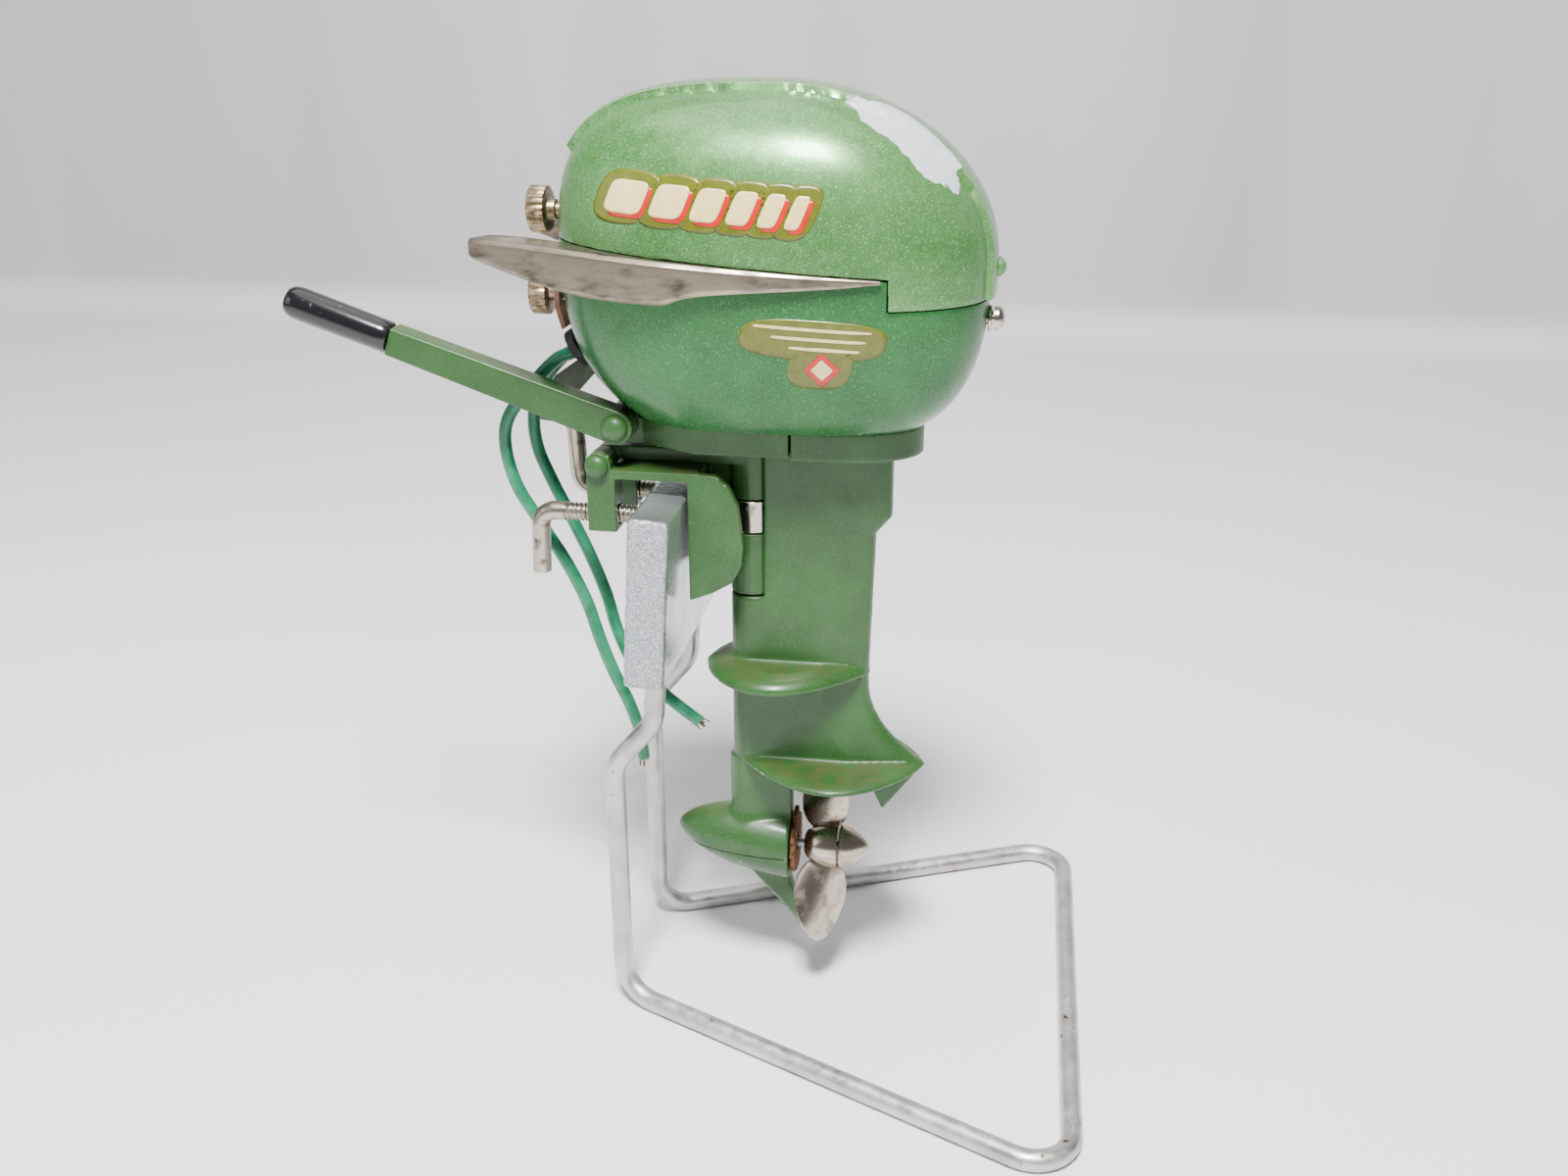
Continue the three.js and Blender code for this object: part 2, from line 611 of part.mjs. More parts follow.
// ---------------------------------------------------------------- tail bearing and washer
{
  const bushBore = propShaftRadius + running;
  const bushRadius = gearChamber.radius - gap;
  const bushLength = 2.4;
  const bushProfile = [
    [bushBore, -bushLength], [bushRadius, -bushLength], [bushRadius, 0], [bushBore, 0], [bushBore, -bushLength],
  ];
  add("tail_bush", turned("x", bushProfile, torpedo.tail, 0, propAxis), brass);
  const washerRadius = torpedo.radius - 0.9;
  const washerFore = torpedo.tail + gap;
  const washerAft = washerFore + 0.7;
  const rim = propAxis + washerRadius;
  const washer = bar("x", washerRadius, washerFore, washerAft, 0, propAxis, facets.medium);
  const hole = bar("x", propShaftRadius + 0.6, 20, 40, 0, propAxis, facets.small);
  const tab = box(washerFore, washerAft, -1.2, 1.2, rim - 1, rim + 0.9);
  add("tail_washer", cut(join(washer, tab), hole), rust);
}

// ---------------------------------------------------------------- cowls
// Height and plan of the egg at a relative height from -1 (bottom) to 1 (top), grown by an offset.
function eggRing(relative, offset) {
  const high = relative >= 0;
  const size = Math.abs(relative);
  const reach = (power) => Math.max(1 - size ** power, 0) ** (1 / power);
  const front = (cowl.front + offset) * reach(high ? 3.2 : 2.5);
  const rear = (cowl.rear + offset) * reach(high ? 2 : 3);
  const half = (cowl.halfWidth + offset) * reach(high ? 2.5 : 2.4);
  const z = cowl.z + relative * ((high ? cowl.up : cowl.down) + offset);
  const count = 28;
  const planPower = 2 / 2.5;
  return Array.from({ length: count }, (_, i) => {
    const angle = (i * 2 * Math.PI) / count;
    const along = Math.sign(Math.cos(angle)) * Math.abs(Math.cos(angle)) ** planPower;
    const across = Math.sign(Math.sin(angle)) * Math.abs(Math.sin(angle)) ** planPower;
    return point(cowl.x + along * (along > 0 ? rear : front), across * half, z);
  });
}

function egg(offset) {
  const levels = Array.from({ length: 13 }, (_, i) => Math.sin(((i - 6) / 6) * 1.5));
  return loft(levels.map((level) => eggRing(level, offset)));
}
const cowlHalfWidthAt = (x) => {
  const reach = Math.abs(x - cowl.x) / (x < cowl.x ? cowl.front : cowl.rear);
  return cowl.halfWidth * Math.max(1 - reach ** 2.5, 0) ** (1 / 2.5);
};
const cowlFrontX = cowl.x - cowl.front;
const seamAt = (x) => seamFront + ((seamAft - seamFront) * (x - cowlFrontX)) / (notchX - cowlFrontX);
const aboveSeam = (drop) => [
  [-20, seamAt(-20) - drop], [notchX - drop, seamAt(notchX) - drop], [notchX - drop, skirtBottom - drop],
  [70, skirtBottom - drop], [70, 170], [-20, 170],
];

{
  const outer = egg(0);
  const inner = egg(-cowlWall);
  const spineSlab = box(-6, 70, -spineHalfWidth, spineHalfWidth, 120.4, 160);
  const spine = cut(common(egg(spineRise), spineSlab), box(-20, 10, -30, 30, 100, 137.6));
  const hoodBlank = cut(join(outer, spine), inner);
  const hood = common(hoodBlank, slab(aboveSeam(0), -40, 40));
  const upperKnobHole = bar("x", knob.stud + running, -20, 3, 0, knob.upperZ, facets.tiny);
  const bossHole = bar("x", 0.9, 45, 70, 0, hoodBossZ, facets.tiny);
  add("hood", cut(hood, upperKnobHole, bossHole), hoodGreen);

  const bowlInside = common(inner, box(-20, 70, -40, 40, cowlFloor + cowlWall, 170));
  const below = cut(box(-30, 80, -40, 40, cowlFloor, 160), slab(aboveSeam(gap), -50, 50));
  const bowl = common(cut(outer, bowlInside), below);
  const holes = [
    bar("x", knob.stud + running, -20, 3, 0, knob.lowerZ, facets.tiny),
    bar("x", rearScrew.radius + 0.1, 45, 70, 0, rearScrew.z, facets.tiny),
    bar("z", 2.4, 90, 103, driveX, 0, facets.small),
    bar("y", 1.1, 5, 30, leverPivot.x, leverPivot.z, facets.tiny),
    bar("z", grommet.radius - 0.5, -5, 5, 0, 0, facets.small)
      .rotateY(-grommet.tilt - Math.PI / 2)
      .translate(leadHole.x, 0, leadHole.z),
  ];
  for (const side of [-1, 1]) {
    for (const x of [foreScrewX, aftScrewX]) {
      holes.push(bar("z", 1.1, 90, 103, x, side * floorScrewY, facets.tiny));
    }
    holes.push(bar("z", 0.8, 90, 103, driveX, side * motorScrewY, facets.tiny));
  }
  add("lower_cowl", cut(bowl, ...holes), cowlGreen);
}

// Trim band: a nickel moulding under each side of the hood that runs forward as a prong.
{
  const prongInner = 10;
  const tipX = -17;
  const stations = [
    // x, outer half width, depth below the seam
    [tipX, 14.4, 2.7], [-15.6, 15, 3.2], [-9, 16.4, 4.9], [-3.4, 17.6, 5.9], [1, 18.6, 6.2],
    [6, 19.4, 6.2], [10.8, 19.9, 6], [12.2, 20, 5.8], [14.4, 20, 4.5], [20, 20.1, 3.5],
    [28, 19.8, 2.4], [35, 18.9, 1.5], [notchX - 1, 17.6, 0.5],
  ];
  const rings = stations.map(([x, outer, depth]) => {
    const followsCowl = x > -3.5;
    const inner = followsCowl ? Math.max(cowlHalfWidthAt(x) + gap, prongInner) : prongInner;
    const top = Math.min(seamAt(x), seamFront + 0.4) - 0.1;
    const innerX = x + (x < -15 ? 1.8 : 0);
    const edge = Math.min(0.7, (outer - inner) * 0.3);
    const round = Math.min(0.6, depth * 0.2);
    return [
      point(innerX, inner, top), point(innerX, inner, top - depth * 0.9), point(x, outer - edge, top - depth),
      point(x, outer, top - depth + round), point(x, outer, top - round), point(x, outer - edge, top),
    ];
  });
  const band = loft(rings);
  add("trim_band_starboard", band, nickel);
  add("trim_band_port", mirrored(band), nickel);
}

// Knurled knobs on studs, the lower one over a collar plate.
function knurledKnob(z, faceX, studEnd) {
  const ridges = 22;
  const outline = Array.from({ length: ridges * 2 }, (_, i) => {
    const angle = (i * Math.PI) / ridges;
    const radius = knob.radius - (i % 2) * 0.28;
    return new THREE.Vector2(radius * Math.cos(angle), radius * Math.sin(angle));
  });
  const head = new THREE.ExtrudeGeometry(new THREE.Shape(outline), { depth: knob.width, bevelEnabled: false });
  head.rotateY(Math.PI / 2).translate(faceX, 0, z);
  const neck = bar("x", knob.neck, faceX + knob.width - 0.2, faceX + knob.width + 1.2, 0, z);
  return join(head, neck, bar("x", knob.stud, faceX + knob.width, studEnd, 0, z, facets.tiny));
}

{
  add("upper_knob", knurledKnob(knob.upperZ, cowlFrontX - 5, cowlFrontX + 4), nickel);
  add("lower_knob", knurledKnob(knob.lowerZ, cowlFrontX - 5.4, cowlFrontX + 4), nickel);
  const collarOutline = [[-8.4, 120.3], [-7.7, 120.3], [-7.7, 115], [-6.9, 112], [-7.5, 111.6], [-8.4, 114.8]];
  const collar = slab(collarOutline, -3.6, 3.6);
  add("knob_collar", cut(collar, bar("x", knob.neck + 0.2, -20, 3, 0, knob.lowerZ, facets.small)), phenolic);
}

// Rear screw and washer, and the boss on the hood's spine.
{
  const seat = cowl.x + cowl.rear + gap;
  const washer = bar("x", 1.9, seat, seat + 0.6, 0, rearScrew.z, facets.small);
  const washerHole = bar("x", rearScrew.radius + 0.15, 40, 70, 0, rearScrew.z, facets.tiny);
  add("rear_washer", cut(washer, washerHole), nickel);
  const head = seat + 0.6 + gap;
  const profile = [
    [0, -6], [rearScrew.radius, -6], [rearScrew.radius, 0], [1.8, 0], [1.8, 0.7], [1.2, 1.3], [0, 1.5],
  ];
  add("rear_screw", turned("x", profile, head, 0, rearScrew.z, facets.small), nickel);
  const bossX = cowl.x + cowl.rear + spineRise + gap;
  const boss = [[0, -2.6], [0.7, -2.6], [0.7, 0], [1.5, 0], [1.3, 0.7], [0.7, 1.1], [0, 1.2]];
  add("hood_boss", turned("x", boss, bossX, 0, hoodBossZ, facets.small), hoodGreen);
}

// Control lever on the starboard flank, on a shoulder screw.
{
  const rootRadius = 2.5;
  const outline = [
    [-18.9, 97.3], [-18.9, 93.4], [-18.3, 92.7], [-12.8, 92.1], [-12.4, 96.3], [-7.2, 102],
    [leverPivot.x + 1.6, leverPivot.z - 1.9], [leverPivot.x + rootRadius, leverPivot.z + 0.4],
    [leverPivot.x + 1.2, leverPivot.z + 2.2], [leverPivot.x - 1.4, leverPivot.z + 2.1],
    [-8.6, 104.6], [-15.4, 99.9],
  ];
  const plate = slab(outline, leverInnerFace, leverInnerFace + leverThickness);
  const bore = bar("y", 1 + running, 0, 30, leverPivot.x, leverPivot.z, facets.tiny);
  add("control_lever", cut(plate, bore), castGreen);
  const outerFace = leverInnerFace + leverThickness + gap;
  const profile = [[0, -8], [1, -8], [1, 0], [2, 0], [2, 0.6], [1.3, 1.2], [0, 1.3]];
  const spacer = bar("y", 1.8, leverInnerFace - 2, leverInnerFace - gap, leverPivot.x, leverPivot.z);
  const shoulder = cut(spacer, egg(gap));
  const pivotScrew = join(turned("y", profile, leverPivot.x, outerFace, leverPivot.z, facets.small), shoulder);
  add("lever_screw", pivotScrew, nickel);
}

// ---------------------------------------------------------------- tiller
{
  const along = (distance, height) => [
    tillerPivot.x - distance * Math.cos(tillerRise) + height * Math.sin(tillerRise),
    tillerPivot.z + distance * Math.sin(tillerRise) + height * Math.cos(tillerRise),
  ];
  const inner = -noseHalfWidth - gap;
  const outer = inner - tillerThickness;
  const middleY = (inner + outer) / 2;
  const root = Array.from({ length: 9 }, (_, i) => {
    const angle = Math.PI / 2 + (i * Math.PI) / 8;
    return along(tillerRootRadius * Math.cos(angle), -tillerRootRadius * Math.sin(angle));
  });
  const outline = [...root, along(gripStart, tillerTipRadius), along(gripStart, -tillerTipRadius)];
  const arm = slab(outline, outer, inner);
  const bore = bar("y", 1 + running, -30, 0, tillerPivot.x, tillerPivot.z, facets.tiny);
  const direction = point(-Math.cos(tillerRise), 0, Math.sin(tillerRise));
  const axisStart = point(tillerPivot.x, middleY, tillerPivot.z);
  const axisPoint = (distance) => direction.clone().multiplyScalar(distance).add(axisStart);
  const tang = rod([axisPoint(gripStart - 0.5), axisPoint(gripStart + 9)], 1.1, facets.tiny);
  add("tiller_arm", join(cut(arm, bore), tang), castGreen);

  const gripLength = tillerLength - gripStart;
  const grip = turned("z", [
    [0, 9.6], [1.35, 9.6], [1.35, gap], [gripRadius - 0.25, gap], [gripRadius - 0.1, 2],
    [gripRadius, gripLength - 2.2], [gripRadius - 0.35, gripLength - 0.9], [gripRadius - 1.2, gripLength - 0.2],
    [0, gripLength],
  ], 0, 0, 0);
  const turnToArm = new THREE.Quaternion().setFromUnitVectors(point(0, 0, 1), direction);
  grip.applyQuaternion(turnToArm);
  const gripBase = axisPoint(gripStart);
  add("tiller_grip", grip.translate(gripBase.x, gripBase.y, gripBase.z), blackGloss);

  const head = outer - gap;
  const shank = bar("y", 1, head - 0.1, -noseHalfWidth + 2.6, tillerPivot.x, tillerPivot.z, facets.tiny);
  const domeProfile = [[0, -1.3], [0.9, -1.15], [1.6, -0.7], [1.95, 0], [0, 0]];
  const dome = turned("y", domeProfile, tillerPivot.x, head, tillerPivot.z, facets.small);
  add("tiller_rivet", join(shank, dome), castGreen);
}

// ---------------------------------------------------------------- electric motor
{
  const canProfile = [
    [canRadius - canWall, canBottom], [canRadius, canBottom], [canRadius, canTop - 1], [canRadius - 1, canTop],
    [1.6, canTop], [1.6, canTop - canWall], [canRadius - 1 - canWall, canTop - canWall],
    [canRadius - canWall, canTop - 1 - canWall], [canRadius - canWall, canBottom],
  ];
  add("motor_can", turned("z", canProfile, driveX, 0, 0, facets.large), steel);
  const bellBottom = cowlFloor + cowlWall + gap;
  const bell = bar("z", canRadius, bellBottom, canBottom - gap, driveX, 0, facets.large);
  const bellHoles = [bar("z", 2.6, 90, 110, driveX, 0, facets.small)];
  for (const side of [-1, 1]) {
    bellHoles.push(bar("z", 0.8, 90, 110, driveX, side * motorScrewY, facets.tiny));
    bellHoles.push(bar("z", 2.2, 90, 110, foreScrewX, side * floorScrewY, facets.tiny));
  }
  add("motor_end_bell", cut(bell, ...bellHoles), phenolic);
  for (const [side, name] of [[-1, "port"], [1, "starboard"]]) {
    const shape = new THREE.Shape();
    const half = THREE.MathUtils.degToRad(58);
    const outerR = canRadius - canWall - gap;
    shape.absarc(0, 0, outerR, Math.PI / 2 - half, Math.PI / 2 + half, false);
    shape.absarc(0, 0, armatureRadius + 0.6, Math.PI / 2 + half, Math.PI / 2 - half, true);
    const magnet = new THREE.ExtrudeGeometry(shape, { depth: 16, bevelEnabled: false, curveSegments: 12 });
    magnet.rotateZ(side < 0 ? Math.PI : 0).translate(driveX, 0, canBottom + 5.6);
    add(`field_magnet_${name}`, magnet, ferrite);
    const brush = box(driveX - 0.9, driveX + 0.9, 2.4 + gap, 6.2, canBottom + 1, canBottom + 3.4);
    add(`brush_${name}`, side < 0 ? mirrored(brush) : brush, brass);
    const headTop = canBottom + 0.8;
    const profile = [[0, 97], [0.65, 97], [0.65, canBottom], [1.4, canBottom], [1.4, headTop], [0, headTop]];
    const bolt = turned("z", profile, driveX, side * motorScrewY, 0, facets.tiny);
    add(`motor_screw_${name}`, bolt, steel);
  }
  const shaftTop = canTop + 1.2;
  const bearingBore = 1 + running;
  const bearing = [
    [bearingBore, canTop - 2.6], [bearingBore, canTop + 0.6], [1.3, canTop + 0.6], [1.3, canTop - 2.6],
    [bearingBore, canTop - 2.6],
  ];
  add("top_bearing", turned("z", bearing, driveX, 0, 0, facets.small), brass);

  // Three poles, each a neck that widens into a curved shoe: radius and angle from the pole's middle.
  const poles = 3;
  const shoeRadius = armatureRadius + 0.1;
  const poleOutline = [
    [2.6, -0.62], [4.9, -0.28], [5, -0.8], [armatureRadius, -0.78], [shoeRadius, -0.4], [shoeRadius, 0],
    [shoeRadius, 0.4], [armatureRadius, 0.78], [5, 0.8], [4.9, 0.28], [2.6, 0.62],
  ];
  const coreCorners = [];
  for (let n = 0; n < poles; n++) {
    const centre = (n * 2 * Math.PI) / poles;
    for (const [radius, offset] of poleOutline) {
      const angle = centre + offset;
      coreCorners.push(new THREE.Vector2(radius * Math.cos(angle), radius * Math.sin(angle)));
    }
  }
  const coreOptions = { depth: 13, bevelEnabled: false };
  const core = new THREE.ExtrudeGeometry(new THREE.Shape(coreCorners), coreOptions);
  core.translate(driveX, 0, canBottom + 7);
  const pressedOn = (from, to) => bar("z", 1.05, from, to, driveX, 0, facets.tiny);
  add("armature_core", cut(core, pressedOn(90, 150)), steel);
  const commutator = bar("z", 2.4, canBottom + 0.4, canBottom + 4.4, driveX, 0, facets.medium);
  add("commutator", cut(commutator, pressedOn(90, 150)), brass);
  const motorShaftBottom = cowlFloor + 3.2;
  add("armature_shaft", bar("z", 1, motorShaftBottom, shaftTop, driveX, 0, facets.tiny), steel);

  const driveTop = cowlFloor + 2.6;
  const pinionTop = propAxis + gearPitch + 1.2;
  const sleeve = bar("z", 1.9, cowlFloor + 0.4, cowlFloor + 5.6, driveX, 0, facets.small);
  const driveShaftBore = bar("z", driveRadius + 0.05, 90, motorShaftBottom, driveX, 0, facets.tiny);
  add("shaft_coupling", cut(sleeve, pressedOn(motorShaftBottom - gap, 120), driveShaftBore), brass);
  add("drive_shaft", bar("z", driveRadius, pinionTop - 2.3, driveTop, driveX, 0, facets.tiny), steel);
}

// ---------------------------------------------------------------- bevel gears, propeller shaft and propeller
// Straight bevel gear about +Z with its apex at the origin and its large end at the pitch distance.
function bevelGear(boreRadius, phase) {
  const addendum = 0.28;
  const dedendum = 0.42;
  const toothPitch = (2 * Math.PI) / gearTeeth;
  const toothOutline = [
    // radius, share of a tooth pitch from the tooth's middle
    [gearPitch - dedendum, -0.27], [gearPitch + addendum, -0.1],
    [gearPitch + addendum, 0.1], [gearPitch - dedendum, 0.27],
  ];
  const outline = [];
  for (let n = 0; n < gearTeeth; n++) {
    const centre = phase + n * toothPitch;
    for (const [radius, share] of toothOutline) {
      const angle = centre + share * toothPitch;
      outline.push(new THREE.Vector2(radius * Math.cos(angle), radius * Math.sin(angle)));
    }
  }
  const teeth = new THREE.ExtrudeGeometry(new THREE.Shape(outline), { depth: gearFace, bevelEnabled: false });
  const position = teeth.attributes.position;
  for (let i = 0; i < position.count; i++) {
    const depth = gearFace - position.getZ(i);
    const shrink = (gearPitch - depth) / gearPitch;
    position.setXYZ(i, position.getX(i) * shrink, position.getY(i) * shrink, gearPitch - depth);
  }
  const hub = bar("z", 1.7, gearPitch - 0.1, gearPitch + 1.2, 0, 0, facets.small);
  return cut(join(teeth, hub), bar("z", boreRadius, -10, 10, 0, 0, facets.tiny));
}

{
  const halfTooth = Math.PI / gearTeeth;
  const pinion = bevelGear(driveRadius + 0.05, 0);
  add("drive_pinion", pinion.translate(driveX, 0, propAxis), brass);
  const wheel = bevelGear(propShaftRadius + 0.05, halfTooth);
  wheel.rotateY(-Math.PI / 2);
  add("prop_gear", wheel.translate(driveX, 0, propAxis), brass);
  add("prop_shaft", bar("x", propShaftRadius, foreBearingFront, propX + 4, 0, propAxis, facets.tiny), steel);
}

{
  const hubFront = propX - 3.6;
  const nutFront = propX + 2;
  const hubProfile = [
    [0, hubFront], [1.5, hubFront], [2.6, hubFront + 0.7], [3.4, hubFront + 2.1], [hubRadius, hubFront + 3.8],
    [hubRadius, nutFront], [0, nutFront],
  ];
  const hub = turned("x", hubProfile, 0, 0, propAxis, facets.medium);
  const blade = (turn) => {
    const stations = [
      // radius, half chord, half thickness
      [2.4, 2.2, 0.8], [5, 3, 0.62], [8, 4, 0.5], [11, 4.3, 0.42], [13.6, 3.7, 0.36], [15.4, 2.4, 0.32],
      [propRadius, 0.8, 0.3],
    ];
    const rings = stations.map(([radius, half, thick]) => {
      const twist = Math.atan2(14, radius * 1.2) + 0.12; // blade angle from the plane of rotation
      return Array.from({ length: 10 }, (_, i) => {
        const angle = (i * 2 * Math.PI) / 10;
        const chord = half * Math.cos(angle);
        const lift = thick * Math.sin(angle) + 0.5 * (1 - (chord / half) ** 2) * thick;
        const x = chord * Math.sin(twist) + lift * Math.cos(twist);
        const y = -chord * Math.cos(twist) + lift * Math.sin(twist);
        return point(propX - 0.6 + x, y, radius);
      });
    });
    return loft(rings).rotateX(turn);
  };
  const raise = (geometry) => geometry.translate(0, 0, propAxis);
  const blades = [propRestTurn, propRestTurn + Math.PI].map((turn) => raise(blade(turn)));
  const shaftBore = bar("x", propShaftRadius + 0.05, 0, 80, 0, propAxis, facets.tiny);
  add("propeller", cut(join(hub, ...blades), shaftBore), nickel);
  const start = nutFront + gap;
  const nutEnd = propX + 7.3;
  const nutProfile = [
    [0, start], [hubRadius, start], [hubRadius - 0.2, start + 1.2], [hubRadius - 0.9, start + 2.7],
    [1.5, nutEnd - 1.3], [0.5, nutEnd - 0.2], [0, nutEnd],
  ];
  const nutBore = bar("x", propShaftRadius + 0.05, 0, propX + 4 + gap, 0, propAxis, facets.tiny);
  add("prop_nut", cut(turned("x", nutProfile, 0, 0, propAxis, facets.medium), nutBore), nickel);
}

// ---------------------------------------------------------------- fasteners in the cowl floor
for (const [x, where] of [[foreScrewX, "fore"], [aftScrewX, "aft"]]) {
  for (const [side, name] of [[-1, "port"], [1, "starboard"]]) {
    const seat = cowlFloor + cowlWall + gap;
    const tip = plateTop - 2.6;
    const profile = [
      [0, tip], [0.9, tip], [0.9, seat], [1.8, seat], [1.8, seat + 0.6], [1, seat + 1.2], [0, seat + 1.2],
    ];
    const geometry = turned("z", profile, x, side * floorScrewY, 0, facets.tiny);
    add(`cowl_screw_${where}_${name}`, geometry, steel);
  }
}

// ---------------------------------------------------------------- lead wires
{
  const outward = point(-Math.cos(grommet.tilt), 0, -Math.sin(grommet.tilt));
  const plug = bar("z", grommet.radius, 1.2, 2.4, 0, 0, facets.small);
  const neck = bar("z", grommet.radius - 0.8, -2.2, 1.3, 0, 0, facets.small);
  const turnOut = new THREE.Quaternion().setFromUnitVectors(point(0, 0, 1), outward);
  const grommetShape = join(plug, neck).applyQuaternion(turnOut).translate(leadHole.x, 0, leadHole.z);
  add("lead_grommet", grommetShape, blackGloss);

  const routes = {
    port: [
      [-9.4, -1.5, 106.6], [-13.6, -1.6, 102.4], [-17.4, -1.7, 97.4], [-18.2, -1.7, 92.6],
      [-16.8, -1.7, 86.6], [-13.4, -1.7, 80.6], [-9.6, -1.8, 74.4], [-6.4, -2.2, 68],
      [-4.2, -3, 61.8], [-2, -3.8, 56.6], [0.4, -4.2, 51.6], [2, -4.2, 46.6], [2.6, -4.2, 41.6],
    ],
    starboard: [
      [-9.2, 1.5, 106.4], [-12.4, 1.6, 102.6], [-14.4, 1.7, 97.6], [-14.2, 1.7, 92],
      [-12, 1.7, 86.2], [-9.2, 1.7, 80.2], [-6.4, 1.6, 74], [-4, 1.2, 67.8],
      [-2.2, 0.2, 62.2], [0.6, -1.4, 57.4], [4.6, -2.6, 53.8], [8.6, -3.2, 50.8], [12, -3.4, 48.4],
    ],
  };
  for (const [name, route] of Object.entries(routes)) {
    const side = name === "port" ? -1 : 1;
    const hole = point(leadHole.x, side * leadSpacing, leadHole.z);
    const start = outward.clone().multiplyScalar(2.4 + gap).add(hole);
    const knots = [start, ...route.map(([x, y, z]) => point(x, y, z))];
    const curve = new THREE.CatmullRomCurve3(knots, false, "centripetal");
    add(`lead_wire_${name}`, rod(curve.getSpacedPoints(30), leadRadius, 8), leadGreen);
  }
}

export default outboard;
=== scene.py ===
# A miniature electric outboard motor, clamped to its bent-wire display stand.
# Lengths are in millimetres times mm. +X is aft, +Y starboard, +Z up.
import json
import math
import random

import bpy
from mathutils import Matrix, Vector


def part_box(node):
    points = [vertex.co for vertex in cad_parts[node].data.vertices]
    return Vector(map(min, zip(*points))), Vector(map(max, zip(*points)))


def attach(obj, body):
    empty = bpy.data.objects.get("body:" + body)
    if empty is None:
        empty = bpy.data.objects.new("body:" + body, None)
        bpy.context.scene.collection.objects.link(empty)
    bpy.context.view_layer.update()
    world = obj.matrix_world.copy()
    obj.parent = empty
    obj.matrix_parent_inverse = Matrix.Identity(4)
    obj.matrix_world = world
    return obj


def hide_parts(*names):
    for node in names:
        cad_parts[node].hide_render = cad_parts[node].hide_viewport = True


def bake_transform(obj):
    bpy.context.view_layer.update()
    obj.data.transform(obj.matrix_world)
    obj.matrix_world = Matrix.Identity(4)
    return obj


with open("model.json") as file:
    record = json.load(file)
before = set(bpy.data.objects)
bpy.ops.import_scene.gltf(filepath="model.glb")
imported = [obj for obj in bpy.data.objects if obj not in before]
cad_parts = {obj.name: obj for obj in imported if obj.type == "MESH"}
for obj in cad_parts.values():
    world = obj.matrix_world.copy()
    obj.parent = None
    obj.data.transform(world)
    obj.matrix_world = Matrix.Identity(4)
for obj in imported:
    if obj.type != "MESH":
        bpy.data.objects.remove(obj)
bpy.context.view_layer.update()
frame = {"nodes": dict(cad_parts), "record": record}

mm = 0.001


# ---------------------------------------------------------------- camera
# Held above the port side, a hand's reach away, looking a little aft and down. The lens is
# fairly wide, so the stand's base spreads below the motor.
camera_data = bpy.data.cameras.new("camera")
camera_data.lens = 33.75
camera_data.sensor_width = 36
camera = bpy.data.objects.new("camera", camera_data)
bpy.context.scene.collection.objects.link(camera)
camera.location = Vector((45.9, -212.2, 155.9)) * mm
camera.rotation_euler = Vector((-0.146, 0.919, -0.367)).to_track_quat("-Z", "Y").to_euler()
bpy.context.scene.camera = camera


# ---------------------------------------------------------------- studio
# A white cloth laid on a table and hung up behind it. The hung part is painted a darker grey than
# the floor as painted shade, and its soft folds are only painted on, as stripes of painted shading.
# Two lamps above and a wide one in front light it, in a dim room.
def start_material(name, roughness, metallic=0.0, coat=0.0):
    """A node material: its tree, its shader and the piece's own coordinates."""
    material = bpy.data.materials.new(name)
    material.use_nodes = True
    tree = material.node_tree
    shader = tree.nodes["Principled BSDF"]
    shader.inputs["Roughness"].default_value = roughness
    shader.inputs["Metallic"].default_value = metallic
    shader.inputs["Coat Weight"].default_value = coat
    shader.inputs["Coat Roughness"].default_value = 0.12
    shader.inputs["Specular IOR Level"].default_value = 0.4
    place = tree.nodes.new("ShaderNodeTexCoord").outputs["Object"]
    return material, tree, shader, place


def noise(tree, place, size, detail=3.0, stretch=(1, 1, 1)):
    """Noise whose grains are about size across."""
    mapping = tree.nodes.new("ShaderNodeMapping")
    mapping.inputs["Scale"].default_value = stretch
    tree.links.new(place, mapping.inputs["Vector"])
    grain = tree.nodes.new("ShaderNodeTexNoise")
    grain.inputs["Scale"].default_value = 1 / size
    grain.inputs["Detail"].default_value = detail
    tree.links.new(mapping.outputs["Vector"], grain.inputs["Vector"])
    return grain.outputs["Fac"]


BLACK = (0, 0, 0)
WHITE = (1, 1, 1)


def ramp(tree, factor, start, end, low, high):
    """Goes from the colour low to the colour high as factor goes from start to end."""
    node = tree.nodes.new("ShaderNodeValToRGB")
    node.color_ramp.elements[0].position = start
    node.color_ramp.elements[1].position = end
    node.color_ramp.elements[0].color = (*low, 1)
    node.color_ramp.elements[1].color = (*high, 1)
    tree.links.new(factor, node.inputs["Fac"])
    return node.outputs["Color"]


def mix(tree, factor, below, above):
    """The colour below where factor is 0 and the colour above where it is 1."""
    node = tree.nodes.new("ShaderNodeMix")
    node.data_type = "RGBA"
    tree.links.new(factor, node.inputs["Factor"])
    for colour, name in ((below, "A"), (above, "B")):
        socket = [s for s in node.inputs if s.name == name and s.type == "RGBA"][0]
        if isinstance(colour, tuple):
            socket.default_value = (*colour, 1)
        else:
            tree.links.new(colour, socket)
    return [s for s in node.outputs if s.type == "RGBA"][0]


def figure(tree, operation, *values):
    """A sum over numbers and other nodes' outputs."""
    node = tree.nodes.new("ShaderNodeMath")
    node.operation = operation
    for socket, value in zip(node.inputs, values):
        if isinstance(value, (int, float)):
            socket.default_value = value
        else:
            tree.links.new(value, socket)
    return node.outputs[0]


def part_of(tree, vector, axis):
    """One coordinate, X, Y or Z, of a vector."""
    split = tree.nodes.new("ShaderNodeSeparateXYZ")
    tree.links.new(vector, split.inputs["Vector"])
    return split.outputs[axis]


